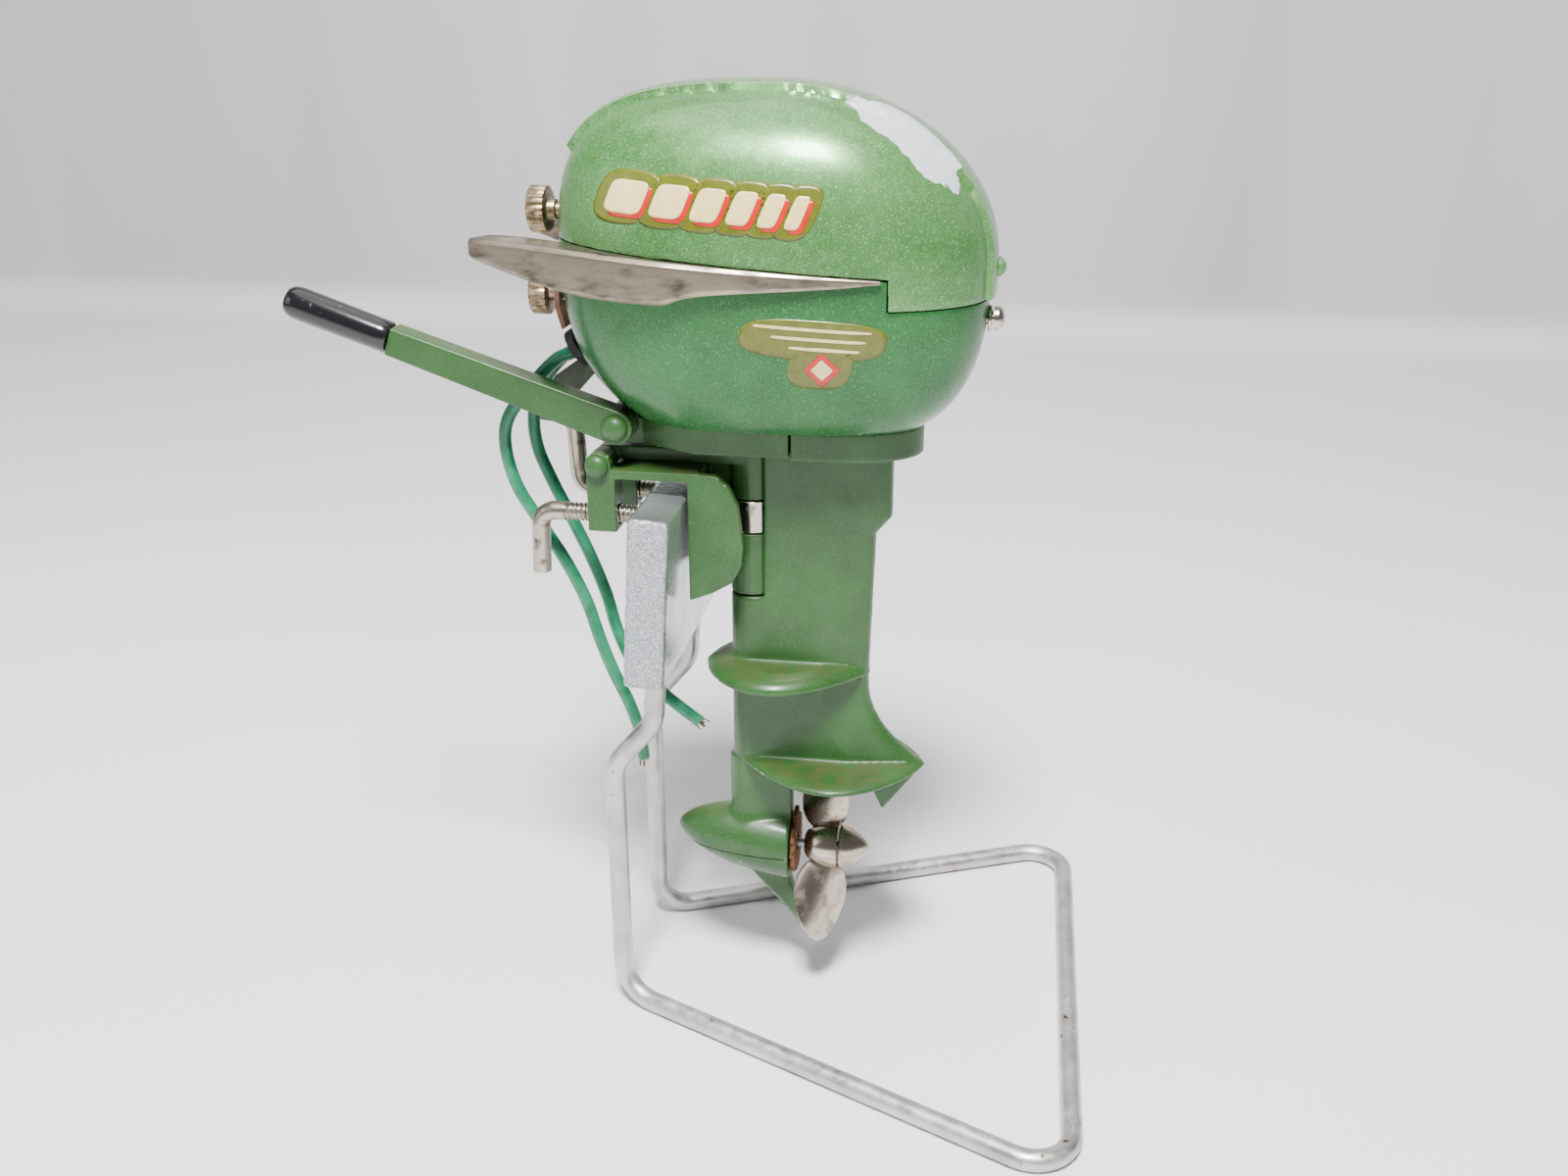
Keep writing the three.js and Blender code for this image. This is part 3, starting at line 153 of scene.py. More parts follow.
def paint(tree, shader, colour):
    tree.links.new(colour, shader.inputs["Base Color"])


def bumps(tree, shader, height, strength, depth):
    """Raises the surface by up to depth where height is 1."""
    node = tree.nodes.new("ShaderNodeBump")
    node.inputs["Strength"].default_value = strength
    node.inputs["Distance"].default_value = depth
    tree.links.new(height, node.inputs["Height"])
    tree.links.new(node.outputs["Normal"], shader.inputs["Normal"])


def deselect():
    bpy.ops.object.select_all(action="DESELECT")


def only(piece):
    """Selects one piece and makes it active."""
    deselect()
    piece.select_set(True)
    bpy.context.view_layer.objects.active = piece


def apply_modifiers(piece):
    only(piece)
    for modifier in list(piece.modifiers):
        bpy.ops.object.modifier_apply(modifier=modifier.name)


def open_mesh(piece):
    """Takes one piece into edit mode with its whole mesh selected."""
    only(piece)
    bpy.ops.object.mode_set(mode="EDIT")
    bpy.ops.mesh.select_all(action="SELECT")


def close_mesh():
    bpy.ops.object.mode_set(mode="OBJECT")


def round_edges(piece, width, segments, angle=30):
    """Adds a bevel on the edges that turn by more than angle."""
    edges = piece.modifiers.new("edges", "BEVEL")
    edges.limit_method = "ANGLE"
    edges.angle_limit = math.radians(angle)
    edges.width = width
    edges.segments = segments


def cloth_material():
    material, tree, shader, place = start_material("white_cloth", 0.95)
    floor = ramp(tree, noise(tree, place, 0.25), 0.3, 0.7, (0.8, 0.79, 0.795), (0.86, 0.855, 0.86))
    # Painted shade: the hung part of the cloth is darker grey than the floor, striped with painted shading
    # for its folds.
    pleat_shading = noise(tree, place, 0.09, 2, (1, 1, 0.12))
    wall = ramp(tree, pleat_shading, 0.3, 0.7, (0.5, 0.485, 0.49), (0.64, 0.62, 0.63))
    hung = ramp(tree, part_of(tree, place, "Z"), 0.008, 0.02, BLACK, WHITE)
    paint(tree, shader, mix(tree, hung, floor, wall))
    bumps(tree, shader, noise(tree, place, 0.0006), 0.08, 0.0002)
    return material


cloth_size = 4
cloth_back = 0.54
deselect()
bpy.ops.mesh.primitive_plane_add(size=cloth_size, location=(0, cloth_back - cloth_size / 2, 0))
cloth = bpy.context.object
cloth.name = "backdrop"
bpy.ops.object.transform_apply(location=True)
bpy.ops.object.mode_set(mode="EDIT")
bpy.ops.mesh.select_mode(type="EDGE")
bpy.ops.mesh.select_all(action="DESELECT")
close_mesh()
for edge in cloth.data.edges:
    edge.select = all(cloth.data.vertices[v].co.y > 0.5 for v in edge.vertices)
bpy.ops.object.mode_set(mode="EDIT")
bpy.ops.mesh.extrude_region_move(TRANSFORM_OT_translate={"value": (0, 0.06, 1.6)})
close_mesh()
round_edges(cloth, 0.03, 8)
apply_modifiers(cloth)
bpy.ops.object.shade_smooth()
cloth.data.materials.append(cloth_material())

# name, place, width, watts, where it points
for name, place, width, watts, target in (
    ("key", (0.03, -0.29, 0.62), 0.14, 13.0, (0, 0, 0.08)),
    ("sky", (-0.1, 0.1, 0.95), 0.7, 3.5, (0, 0, 0)),
    ("fill", (-0.75, -0.45, 0.4), 0.5, 1.6, (0, 0, 0.06)),
):
    lamp = bpy.data.lights.new(name, "AREA")
    lamp.size = width
    lamp.energy = watts
    lamp_object = bpy.data.objects.new(name, lamp)
    bpy.context.scene.collection.objects.link(lamp_object)
    lamp_object.location = place
    lamp_object.rotation_euler = (Vector(target) - Vector(place)).to_track_quat("-Z", "Y").to_euler()
world = bpy.data.worlds.new("room")
world.use_nodes = True
world.node_tree.nodes["Background"].inputs["Color"].default_value = (0.86, 0.86, 0.9, 1)
world.node_tree.nodes["Background"].inputs["Strength"].default_value = 0.24
bpy.context.scene.world = world


# ---------------------------------------------------------------- lead wires
# Two soft vinyl leads leave the cowl's grommet, hang in front of the block and end bare under it.
# Each is made in two lengths that meet beside the tilt pin.
def smooth_route(knots, steps=10):
    """Points on a curve through the knots."""
    ends = [knots[0] * 2 - knots[1], *knots, knots[-1] * 2 - knots[-2]]
    points = []
    for n in range(1, len(ends) - 2):
        a, b, c, d = ends[n - 1 : n + 3]
        for i in range(steps):
            t = i / steps
            bend = (2 * a - 5 * b + 4 * c - d) * t * t + (3 * b - a - 3 * c + d) * t**3
            points.append((2 * b + (c - a) * t + bend) / 2)
    return [*points, knots[-1]]


def new_piece(name, points, edges, faces):
    mesh = bpy.data.meshes.new(name)
    mesh.from_pydata([tuple(p) for p in points], edges, faces)
    piece = bpy.data.objects.new(name, mesh)
    bpy.context.scene.collection.objects.link(piece)
    return piece


def ring_faces(rings, count):
    """The faces of a closed body made of rings of count points each."""
    faces = []
    for n in range(rings - 1):
        for i in range(count):
            j = (i + 1) % count
            faces.append((n * count + i, n * count + j, (n + 1) * count + j, (n + 1) * count + i))
    last = (rings - 1) * count
    return [*faces, tuple(reversed(range(count))), tuple(range(last, last + count))]


def tube(name, points, radius, sides, relief=None):
    """A closed tube along points. relief(distance, turn) is added to its radius."""
    tangents = []
    for n in range(len(points)):
        tangents.append((points[min(n + 1, len(points) - 1)] - points[max(n - 1, 0)]).normalized())
    across = tangents[0].orthogonal().normalized()
    vertices = []
    distance = 0.0
    for n, (middle, along) in enumerate(zip(points, tangents)):
        distance += (middle - points[n - 1]).length if n else 0
        across = (across - along * across.dot(along)).normalized()
        third = along.cross(across)
        for i in range(sides):
            turn = 2 * math.pi * i / sides
            r = radius + (relief(distance, turn) if relief else 0)
            vertices.append(middle + (across * math.cos(turn) + third * math.sin(turn)) * r)
    piece = new_piece(name, vertices, [], ring_faces(len(points), sides))
    smooth(piece)
    return piece


def smooth(piece, angle=35):
    only(piece)
    bpy.ops.object.shade_smooth_by_angle(angle=math.radians(angle))


def place_piece(piece, material, slot, body, *nodes):
    """Gives a finished piece its material, hangs it on its body's empty if it has one, and hides the CAD
    nodes it stands for.
    """
    piece.data.materials.clear()
    piece.data.materials.append(material)
    if body:
        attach(piece, body)
    if nodes:
        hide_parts(*nodes)


def vinyl_material():
    material, tree, shader, place = start_material("teal_vinyl", 0.34, coat=0.15)
    tone = ramp(tree, noise(tree, place, 3 * mm), 0.35, 0.65, (0.006, 0.13, 0.055), (0.02, 0.24, 0.12))
    paint(tree, shader, tone)
    shader.inputs["Subsurface Weight"].default_value = 0.25
    shader.inputs["Subsurface Scale"].default_value = 0.001
    shader.inputs["Transmission Weight"].default_value = 0.12
    bumps(tree, shader, noise(tree, place, 1.2 * mm), 0.12, 0.1 * mm)
    return material


def strand_material():
    material, tree, shader, place = start_material("bare_copper", 0.4, metallic=1.0)
    tone = ramp(tree, noise(tree, place, 0.3 * mm), 0.4, 0.6, (0.12, 0.06, 0.03), (0.42, 0.3, 0.2))
    paint(tree, shader, tone)
    return material


vinyl = vinyl_material()
bare_copper = strand_material()
lead_radius = 1 * mm
lead_routes = {
    "port": [
        (-19.611, -1.45, 107.851), (-22.4, -1.5, 106.6), (-26.6, -1.6, 102.4), (-30.4, -1.7, 97.4),
        (-31.2, -1.7, 92.6), (-29.8, -1.7, 86.6), (-26.4, -1.7, 80.6), (-22.6, -1.8, 74.4),
        (-19.4, -2.2, 68), (-17.2, -3, 61.8), (-15, -3.8, 56.6), (-12.6, -4.2, 51.6), (-11, -4.2, 46.6),
        (-10.4, -4.2, 41.6),
    ],
    "starboard": [
        (-19.611, 1.45, 107.851), (-22.2, 1.5, 106.4), (-25.4, 1.6, 102.6), (-27.4, 1.7, 97.6),
        (-27.2, 1.7, 92), (-25, 1.7, 86.2), (-22.2, 1.7, 80.2), (-19.4, 1.6, 74), (-17, 1.2, 67.8),
        (-15.2, 0.2, 62.2), (-12.4, -1.4, 57.4), (-8.4, -2.6, 53.8), (-4.4, -3.2, 50.8), (-1, -3.4, 48.4),
    ],
}
join_knot = 6


for side, route in lead_routes.items():
    knots = [Vector(p) * mm for p in route]
    points = smooth_route(knots)
    joint = join_knot * 10
    upper_points = points[: joint + 1]
    lower_points = points[joint:]
    strands = []
    ahead = (lower_points[-1] - lower_points[-3]).normalized()
    rng = random.Random(7 if side == "port" else 11)
    for n in range(9):
        spread = Vector((rng.uniform(-1, 1), rng.uniform(-1, 1), rng.uniform(-1, 1))) * 0.45 * mm
        root = lower_points[-1] - ahead * 0.4 * mm + spread
        tip = root + ahead * rng.uniform(0.8, 1.5) * mm + spread * 0.8
        strands.append(tube(f"strand_{n}", [root, (root + tip) / 2 + spread * 0.2, tip], 0.13 * mm, 6))
    deselect()
    for strand in strands:
        strand.select_set(True)
    bpy.context.view_layer.objects.active = strands[0]
    bpy.ops.object.join()
    strands[0].name = f"lead_strands_{side}"
    place_piece(strands[0], bare_copper, "brass", "clamp")
    upper = tube(f"lead_{side}_upper", upper_points, lead_radius, 20)
    lower = tube(f"lead_{side}_lower", lower_points, lead_radius, 20)
    place_piece(upper, vinyl, "lead_insulation", None, f"lead_wire_{side}")
    place_piece(lower, vinyl, "lead_insulation", None, f"lead_wire_{side}")
    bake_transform(upper)
    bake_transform(lower)


# ---------------------------------------------------------------- stand wire
# One length of zinc-plated steel wire, bent cold into a kite-shaped base and two uprights
# whose ends are pressed into the block.
def rounded_route(corners, radius, steps=12):
    """Points of a bent rod: straight between the corners, turned at a radius round each."""
    points = [corners[0]]
    for a, b, c in zip(corners, corners[1:], corners[2:]):
        back = (a - b).normalized()
        on = (c - b).normalized()
        half = back.angle(on) / 2
        centre = b + (back + on).normalized() * (radius / math.sin(half))
        start = (b + back * (radius / math.tan(half)) - centre).normalized()
        end = (b + on * (radius / math.tan(half)) - centre).normalized()
        for n in range(steps + 1):
            points.append(centre + start.slerp(end, n / steps) * radius)
    return [*points, corners[-1]]


def evenly(points, step):
    """The same route with points no further apart than step."""
    route = [points[0]]
    for a, b in zip(points, points[1:]):
        count = max(1, math.ceil((b - a).length / step))
        for n in range(1, count + 1):
            route.append(a.lerp(b, n / count))
    return route


def zinc_material():
    material, tree, shader, place = start_material("zinc_wire", 0.42, metallic=0.9)
    base = ramp(tree, noise(tree, place, 4 * mm, 6), 0.3, 0.7, (0.4, 0.39, 0.37), (0.62, 0.62, 0.61))
    spots = ramp(tree, noise(tree, place, 1.6 * mm, 8), 0.64, 0.7, BLACK, WHITE)
    patches = ramp(tree, noise(tree, place, 22 * mm, 2), 0.5, 0.62, BLACK, WHITE)
    tone = mix(tree, figure(tree, "MULTIPLY", spots, patches), base, (0.11, 0.055, 0.025))
    paint(tree, shader, tone)
    rough = ramp(tree, noise(tree, place, 2 * mm, 6), 0.3, 0.7, (0.3,) * 3, (0.58,) * 3)
    tree.links.new(rough, shader.inputs["Roughness"])
    bumps(tree, shader, noise(tree, place, 0.5 * mm, 5), 0.25, 0.08 * mm)
    return material


zinc = zinc_material()
wire_radius = 1.6
wire_bend = 6
upright_y = 12.6
closed_end_y = 45.2
# x, y and z of each corner, from the upright's end in the block to the closed end of the base
wire_half = [
    (-5.008, upright_y, 72.008), (-6.264, upright_y, 52.5), (-13, upright_y, 44.5),
    (-13, upright_y, wire_radius), (60.8, closed_end_y, wire_radius),
]
corners = [Vector((x, -y, z)) * mm for x, y, z in wire_half]
corners += [Vector(corner) * mm for corner in reversed(wire_half)]
wire = tube("bent_wire", evenly(rounded_route(corners, wire_bend * mm), 4 * mm), wire_radius * mm, 28)
place_piece(wire, zinc, "zinc_wire", "stand", "stand_wire")


# ---------------------------------------------------------------- stand block
# A short bar of silver-painted wood, leaning a little aft. Its faces are smooth and its sawn
# ends are rough, so the paint glitters there.
def silver_material():
    material, tree, shader, place = start_material("silver_paint", 0.28, metallic=0.85)
    out = figure(tree, "MULTIPLY", figure(tree, "ABSOLUTE", part_of(tree, place, "Y")), 1 / (40 * mm))
    at_end = ramp(tree, out, 0.465, 0.48, BLACK, WHITE)
    face = ramp(tree, noise(tree, place, 9 * mm, 3), 0.35, 0.65, (0.42, 0.45, 0.46), (0.68, 0.7, 0.72))
    glitter = ramp(tree, noise(tree, place, 0.24 * mm, 4), 0.4, 0.66, (0.3, 0.31, 0.33), (0.66, 0.68, 0.71))
    paint(tree, shader, mix(tree, at_end, face, glitter))
    rough = mix(tree, at_end, (0.24, 0.24, 0.24), (0.6, 0.6, 0.6))
    tree.links.new(rough, shader.inputs["Roughness"])
    bumps(tree, shader, figure(tree, "MULTIPLY", noise(tree, place, 0.5 * mm, 6), at_end), 0.9, 0.35 * mm)
    return material


def fine_net(piece, voxel):
    net = piece.modifiers.new("net", "REMESH")
    net.mode = "VOXEL"
    net.voxel_size = voxel


block_low, block_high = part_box("stand_block")
block_size = (6.2, 39, 27)
block_lean = math.radians(3.6)
deselect()
bpy.ops.mesh.primitive_cube_add(size=1)
block = bpy.context.object
block.name = "silver_block"
block.scale = tuple(side * mm for side in block_size)
block.rotation_euler = (0, block_lean, 0)
block.location = (block_low + block_high) / 2
bpy.ops.object.transform_apply()
round_edges(block, 0.8 * mm, 4)
fine_net(block, 0.3 * mm)
apply_modifiers(block)
grain_texture = bpy.data.textures.new("sawn_grain", "CLOUDS")
grain_texture.noise_scale = 0.7 * mm
sawn = block.vertex_groups.new(name="ends")
for vertex in block.data.vertices:
    near_end = max(0.0, abs(vertex.co.y) - 18.4 * mm) / (1.1 * mm)
    sawn.add([vertex.index], 0.15 + 0.85 * min(1.0, near_end), "REPLACE")
rough = block.modifiers.new("rough", "DISPLACE")
rough.texture = grain_texture
rough.texture_coords = "LOCAL"
rough.strength = 0.5 * mm
rough.mid_level = 0.75
rough.vertex_group = "ends"
apply_modifiers(block)
smooth(block, 60)
place_piece(block, silver_material(), "silver_paint", "stand", "stand_block")


# ---------------------------------------------------------------- clamp
# A green die casting: a saddle over the block with two front legs, a rear jaw and cheeks.
# Its tilt pin is peened over at both ends.
def enamel_material(name, light, dark, roughness, grime=0, metallic=0, sparkle=0, worn_edges=0):
    """Stoving enamel on die-cast zinc, with grime on what faces up and bare metal on sharp edges."""
    material, tree, shader, place = start_material(name, roughness, metallic, coat=0.15)
    tone = ramp(tree, noise(tree, place, 7 * mm, 5), 0.32, 0.68, dark, light)
    if sparkle:
        flakes = ramp(tree, noise(tree, place, 0.22 * mm, 2), 0.56, 0.72, BLACK, (sparkle,) * 3)
        tone = mix(tree, flakes, tone, (0.3, 0.55, 0.26))
    if grime:
        normal = tree.nodes.new("ShaderNodeNewGeometry").outputs["Normal"]
        upward = ramp(tree, part_of(tree, normal, "Z"), 0.75, 1.0, BLACK, WHITE)
        patchy = ramp(tree, noise(tree, place, 2.5 * mm, 8), 0.35, 0.75, BLACK, (grime,) * 3)
        tone = mix(tree, figure(tree, "MULTIPLY", upward, patchy), tone, (0.075, 0.062, 0.022))
    if worn_edges:
        pointy = tree.nodes.new("ShaderNodeNewGeometry").outputs["Pointiness"]
        broken = figure(tree, "MULTIPLY_ADD", noise(tree, place, 0.8 * mm, 6), 0.05, pointy)
        bare = ramp(tree, broken, 0.585, 0.61, BLACK, (worn_edges,) * 3)
        tone = mix(tree, bare, tone, (0.34, 0.36, 0.3))
    paint(tree, shader, tone)
    smoothest, roughest = (roughness - 0.07,) * 3, (roughness + 0.1,) * 3
    gloss = ramp(tree, noise(tree, place, 3 * mm, 6), 0.3, 0.7, smoothest, roughest)
    tree.links.new(gloss, shader.inputs["Roughness"])
    bumps(tree, shader, noise(tree, place, 0.55 * mm, 5), 0.16, 0.06 * mm)
    return material


casting_green = enamel_material(
    "casting_green", (0.024, 0.088, 0.017), (0.016, 0.062, 0.011), 0.42,
    grime=0.8, sparkle=0.09, worn_edges=0.6,
)


def copy_of(node, name):
    """A merged copy of a CAD node's mesh, as a new object."""
    mesh = frame["nodes"][node].data.copy()
    piece = bpy.data.objects.new(name, mesh)
    bpy.context.scene.collection.objects.link(piece)
    open_mesh(piece)
    bpy.ops.mesh.remove_doubles(threshold=0.002 * mm)
    close_mesh()
    return piece


def cast(piece, voxel, passes):
    """Rounds edges and fills corners, as a die casting under paint."""
    fine_net(piece, voxel)
    soften = piece.modifiers.new("soften", "SMOOTH")
    soften.factor = 0.5
    soften.iterations = passes
    apply_modifiers(piece)
    only(piece)
    bpy.ops.object.shade_smooth()
    return piece


clamp = cast(copy_of("clamp_bracket", "clamp_casting"), 0.16 * mm, 5)
place_piece(clamp, casting_green, "casting_green", "clamp", "clamp_bracket")


def turned(name, profile, origin, axis, steps=48):
    """Spins a profile of (radius, distance along axis) round the axis from origin."""
    axis = Vector(axis).normalized()
    across = axis.orthogonal().normalized()
    origin = Vector(origin) * mm
    line = [origin + (across * r + axis * h) * mm for r, h in profile]
    piece = new_piece(name, line, [(n, n + 1) for n in range(len(line) - 1)], [])
    open_mesh(piece)
    bpy.ops.mesh.spin(steps=steps, angle=2 * math.pi, center=tuple(origin), axis=tuple(axis))
    bpy.ops.mesh.select_all(action="SELECT")
    bpy.ops.mesh.remove_doubles(threshold=0.005 * mm)
    bpy.ops.mesh.normals_make_consistent(inside=False)
    close_mesh()
    smooth(piece)
    return piece


def dome(radius, height, base, steps=8):
    """Profile points of a rounded head above base."""
    points = []
    for n in range(steps + 1):
        angle = math.pi / 2 * n / steps
        points.append((radius * math.cos(angle), base + height * math.sin(angle)))
    return points


pin_end = 8.8
pin_head = [(1, pin_end), (1.75, pin_end), *dome(1.75, 1.1, pin_end + 0.1)]
pin_profile = [(r, -h) for r, h in reversed(pin_head)] + pin_head
pin = turned("peened_pin", pin_profile, (-14.7, 0, 92.3), (0, 1, 0))
place_piece(pin, casting_green, "casting_green", "clamp", "tilt_pin")


# ---------------------------------------------------------------- clamp screws
# Nickel-plated steel rods, each bent at one end into a handle and threaded towards its tip, which
# bears on a loose pad. They run through the clamp's front legs.
def nickel_material(name, bright, tarnish, amount, roughness=0.24, streak=(1, 1, 1), softness=0.16):
    """Nickel plate with dark tarnish; amount is how much of it is stained."""
    material, tree, shader, place = start_material(name, roughness, metallic=1.0)
    warm = ramp(tree, noise(tree, place, 5 * mm, 3), 0.3, 0.7, bright, tuple(c * 0.82 for c in bright))
    start = 0.62 - amount * 0.25
    cloud = ramp(tree, noise(tree, place, 2.4 * mm, 9, streak), start, start + softness, BLACK, WHITE)
    paint(tree, shader, mix(tree, cloud, warm, tarnish))
    rough = mix(tree, cloud, (roughness,) * 3, (0.6, 0.6, 0.6))
    tree.links.new(rough, shader.inputs["Roughness"])
    bumps(tree, shader, noise(tree, place, 0.4 * mm, 6), 0.18, 0.05 * mm)
    return material


nickel = nickel_material("nickel", (0.5, 0.44, 0.36), (0.13, 0.1, 0.075), 0.35, 0.3)
screw_z = 84.3
screw_tip_x = -9.4
handle_length = 10.0
thread_pitch = 0.7
for side, sign, reach, thread_start in (("port", -1, -24.6, -20.6), ("starboard", 1, -21.9, -19.2)):
    y = sign * 6.2
    corners = [
        Vector((screw_tip_x, y, screw_z)) * mm,
        Vector((reach, y, screw_z)) * mm,
        Vector((reach - 0.4, y, screw_z + sign * handle_length)) * mm,
    ]
    threaded = (screw_tip_x - thread_start) * mm

    def thread(distance, turn, threaded=threaded):
        if distance > threaded:
            return 0.0
        wave = math.sin(2 * math.pi * distance / (thread_pitch * mm) - turn)
        return (0.11 * wave - 0.11) * mm

    route = rounded_route(corners, 2.4 * mm, 14)
    rod = tube(f"screw_rod_{side}", evenly(route, 0.09 * mm), 1.44 * mm, 20, thread)
    round_edges(rod, 0.3 * mm, 3, 70)
    apply_modifiers(rod)
    place_piece(rod, nickel, "nickel", f"screw_{side}", f"clamp_screw_{side}")
    low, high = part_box(f"clamp_pad_{side}")
    thickness = (high.x - low.x) / mm
    pad_profile = [(0, 0), (1.2, 0), (1.9, 0.25), (2, 0.4), (2, thickness - 0.1), (1.9, thickness),
                   (0, thickness)]
    pad = turned(f"pressure_pad_{side}", pad_profile, (low.x / mm, y, screw_z), (1, 0, 0))
    place_piece(pad, nickel, "nickel", f"pad_{side}", f"clamp_pad_{side}")


# ---------------------------------------------------------------- swivel
# The green cast arm that tilts on the pin, with the steering barrel on its end. A nickel-plated
# band is pressed round the barrel.
arm = cast(copy_of("swivel_bracket", "swivel_casting"), 0.15 * mm, 5)
place_piece(arm, casting_green, "casting_green", "swivel", "swivel_bracket")
band_profile = [(3.22, 0), (3.42, 0), (3.5, 0.1), (3.5, 4.9), (3.42, 5), (3.22, 5), (3.22, 0)]
barrel_x = 7.4
barrel_band = turned("barrel_band", band_profile, (barrel_x, 0, 81.2), (0, 0, 1), 64)
bright_nickel = nickel_material("bright_nickel", (0.56, 0.51, 0.44), (0.2, 0.15, 0.09), 0.12, 0.22)
place_piece(barrel_band, bright_nickel, "nickel", "swivel", "swivel_band")


# ---------------------------------------------------------------- steering bracket
# The front half of the plate under the cowl, a green casting with a nose that carries the tiller.
# It is fixed to the top of the steering tube.
bracket = cast(copy_of("steering_bracket", "bracket_casting"), 0.16 * mm, 4)
place_piece(bracket, casting_green, "casting_green", "motor", "steering_bracket")


# ---------------------------------------------------------------- leg
# One green casting from the aft half of the plate down to the top of the gear housing: a hollow
# backed blade, a crowned spray plate, a thin anti-ventilation plate with its trim fin, and a strut.
def skin(name, rings):
    """A closed shell over rings of points, all of the same count."""
    points = [Vector(p) * mm for ring in rings for p in ring]
    piece = new_piece(name, points, [], ring_faces(len(rings), len(rings[0])))
    open_mesh(piece)
    bpy.ops.mesh.normals_make_consistent(inside=False)
    close_mesh()
    return piece


def joined(name, shells):
    deselect()
    for shell in shells:
        shell.select_set(True)
    bpy.context.view_layer.objects.active = shells[0]
    bpy.ops.object.join()
    shells[0].name = name
    return shells[0]


def trimmed(piece, height, keep_above):
    """Cuts a piece level at a height and closes the cut."""
    open_mesh(piece)
    bpy.ops.mesh.bisect(
        plane_co=(0, 0, height * mm), plane_no=(0, 0, 1), use_fill=True,
        clear_inner=keep_above, clear_outer=not keep_above,
    )
    close_mesh()
    return piece


blade_half = 3.5


def blade_aft(z):
    """Where the blade's trailing edge is at a height."""
    if z > 84:
        return 29.0
    if z > 81.2:
        return 26.6 + 2.4 * (z - 81.2) / 2.8
    if z > 57:
        return 25.9 + 0.7 * (z - 57) / 24.2
    return 25.9 + 8.5 * ((57 - z) / 14.4) ** 2.3


def blade_tail(z):
    """The sides and trailing edge of the blade's section, from port round to starboard."""
    aft = blade_aft(z)
    shoulder = barrel_x + (aft - barrel_x) * 0.6
    port = [(shoulder, -blade_half * 0.95), (aft - 1.2, -blade_half * 0.5), (aft - 0.3, -blade_half * 0.32)]
    return [(x, y, z) for x, y in [*port, (aft, 0)] + [(x, -y) for x, y in reversed(port)]]


def arc(radius, start, end, z, count, middle=barrel_x):
    """Points of an arc about the steering axis, between two angles in degrees."""
    points = []
    for n in range(count + 1):
        angle = math.radians(start + (end - start) * n / count)
        points.append((middle + radius * math.cos(angle), radius * math.sin(angle), z))
    return points


def leaf(front, aft, half, z, shrink, bluntness):
    """A leaf-shaped level outline, full in the middle and pointed at both ends."""
    middle = (front + aft) / 2
    points = []
    for n in range(64):
        t = n / 32 if n < 32 else (64 - n) / 32
        side = 1 if n < 32 else -1
        x = front + (aft - front) * t
        y = side * half * max(math.sin(math.pi * t**bluntness), 0) ** 0.75
        points.append((middle + (x - middle) * shrink, y * shrink, z))
    return points


lower_blade = skin("blade", [arc(3.5, 90, 270, z, 20) + blade_tail(z) for z in
                             (70.7, 66, 60, 57, 55, 53, 51, 49, 47.5, 46, 44.8, 43.6, 42.5, 42)])
notch_turn = math.degrees(math.asin(blade_half / 3.85))
upper_blade = skin("upper_blade", [blade_tail(z) + arc(3.85, notch_turn, -notch_turn, z, 16) for z in
                                   (94.6, 84.1, 83.9, 81.3, 81.1, 70.3)])
flange_outline = [(14.4, -8.5), *[(21 + 12.3 * math.sin(a), -8.5 * math.cos(a)) for a in
                                  [math.pi * n / 24 for n in range(25)]], (14.4, 8.5)]
flange = skin("flange", [[(x, y, z) for x, y in flange_outline] for z in (94.4, 98.9)])
spray_levels = ((57.3, 0.95), (57.5, 0.99), (58, 1), (58.5, 0.985), (59.1, 0.93), (59.6, 0.84), (59.95, 0.7))
spray = skin("spray", [leaf(-0.4, 26.2, 11.4, z, shrink, 0.82) for z, shrink in spray_levels])
vent = skin("vent", [leaf(3.9, 35.3, 12.8, z, shrink, 1.1) for z, shrink in
                     ((41.55, 0.985), (41.8, 1), (42.1, 1), (42.5, 0.96), (42.9, 0.86))])
fin_outline = [(26.4, 42), (26.4, 38), (28.6, 33.2), (34.4, 41.2), (34.4, 42)]
fin = skin("fin", [[(x, y, z) for x, z in fin_outline] for y in (-0.8, 0.8)])
strut_rings = []
for z, flare in ((42, 0), (33, 0), (32, 0.15), (31, 0.5), (30.2, 1.0), (26, 1.2)):
    back = [(13.6, -1.9 - flare, z), (13.6, 1.9 + flare, z)]
    strut_rings.append(arc(3.1 + flare, 90, 270, z, 20, 6.4) + back)
strut = skin("strut", strut_rings)

prop_axis = 25.4
housing_nose = -5.8
housing_tail = 13.6
housing_radius = 6.1
nose_rise = 2.2


def housing(name):
    """The bullet-shaped gear housing, its nose raised a little."""
    rings = []
    for n in range(41):
        x = housing_nose + (housing_tail - housing_nose) * (1 - math.cos(math.pi / 2 * n / 40))
        t = (housing_tail - x) / (housing_tail - housing_nose)
        radius = housing_radius * max(1 - t**2.3, 0.002) ** 0.62
        middle = prop_axis + nose_rise * t
        rings.append([(x, radius * math.cos(a), middle + radius * math.sin(a)) for a in
                      [2 * math.pi * i / 72 for i in range(72)]])
    return skin(name, rings)


leg = joined("leg_blade", [lower_blade, upper_blade, flange, spray, vent, fin, strut, housing("housing_top")])
leg = trimmed(cast(leg, 0.27 * mm, 5), prop_axis + 0.12, True)
smooth(leg, 50)
place_piece(leg, casting_green, "casting_green", "motor", "leg_casting")


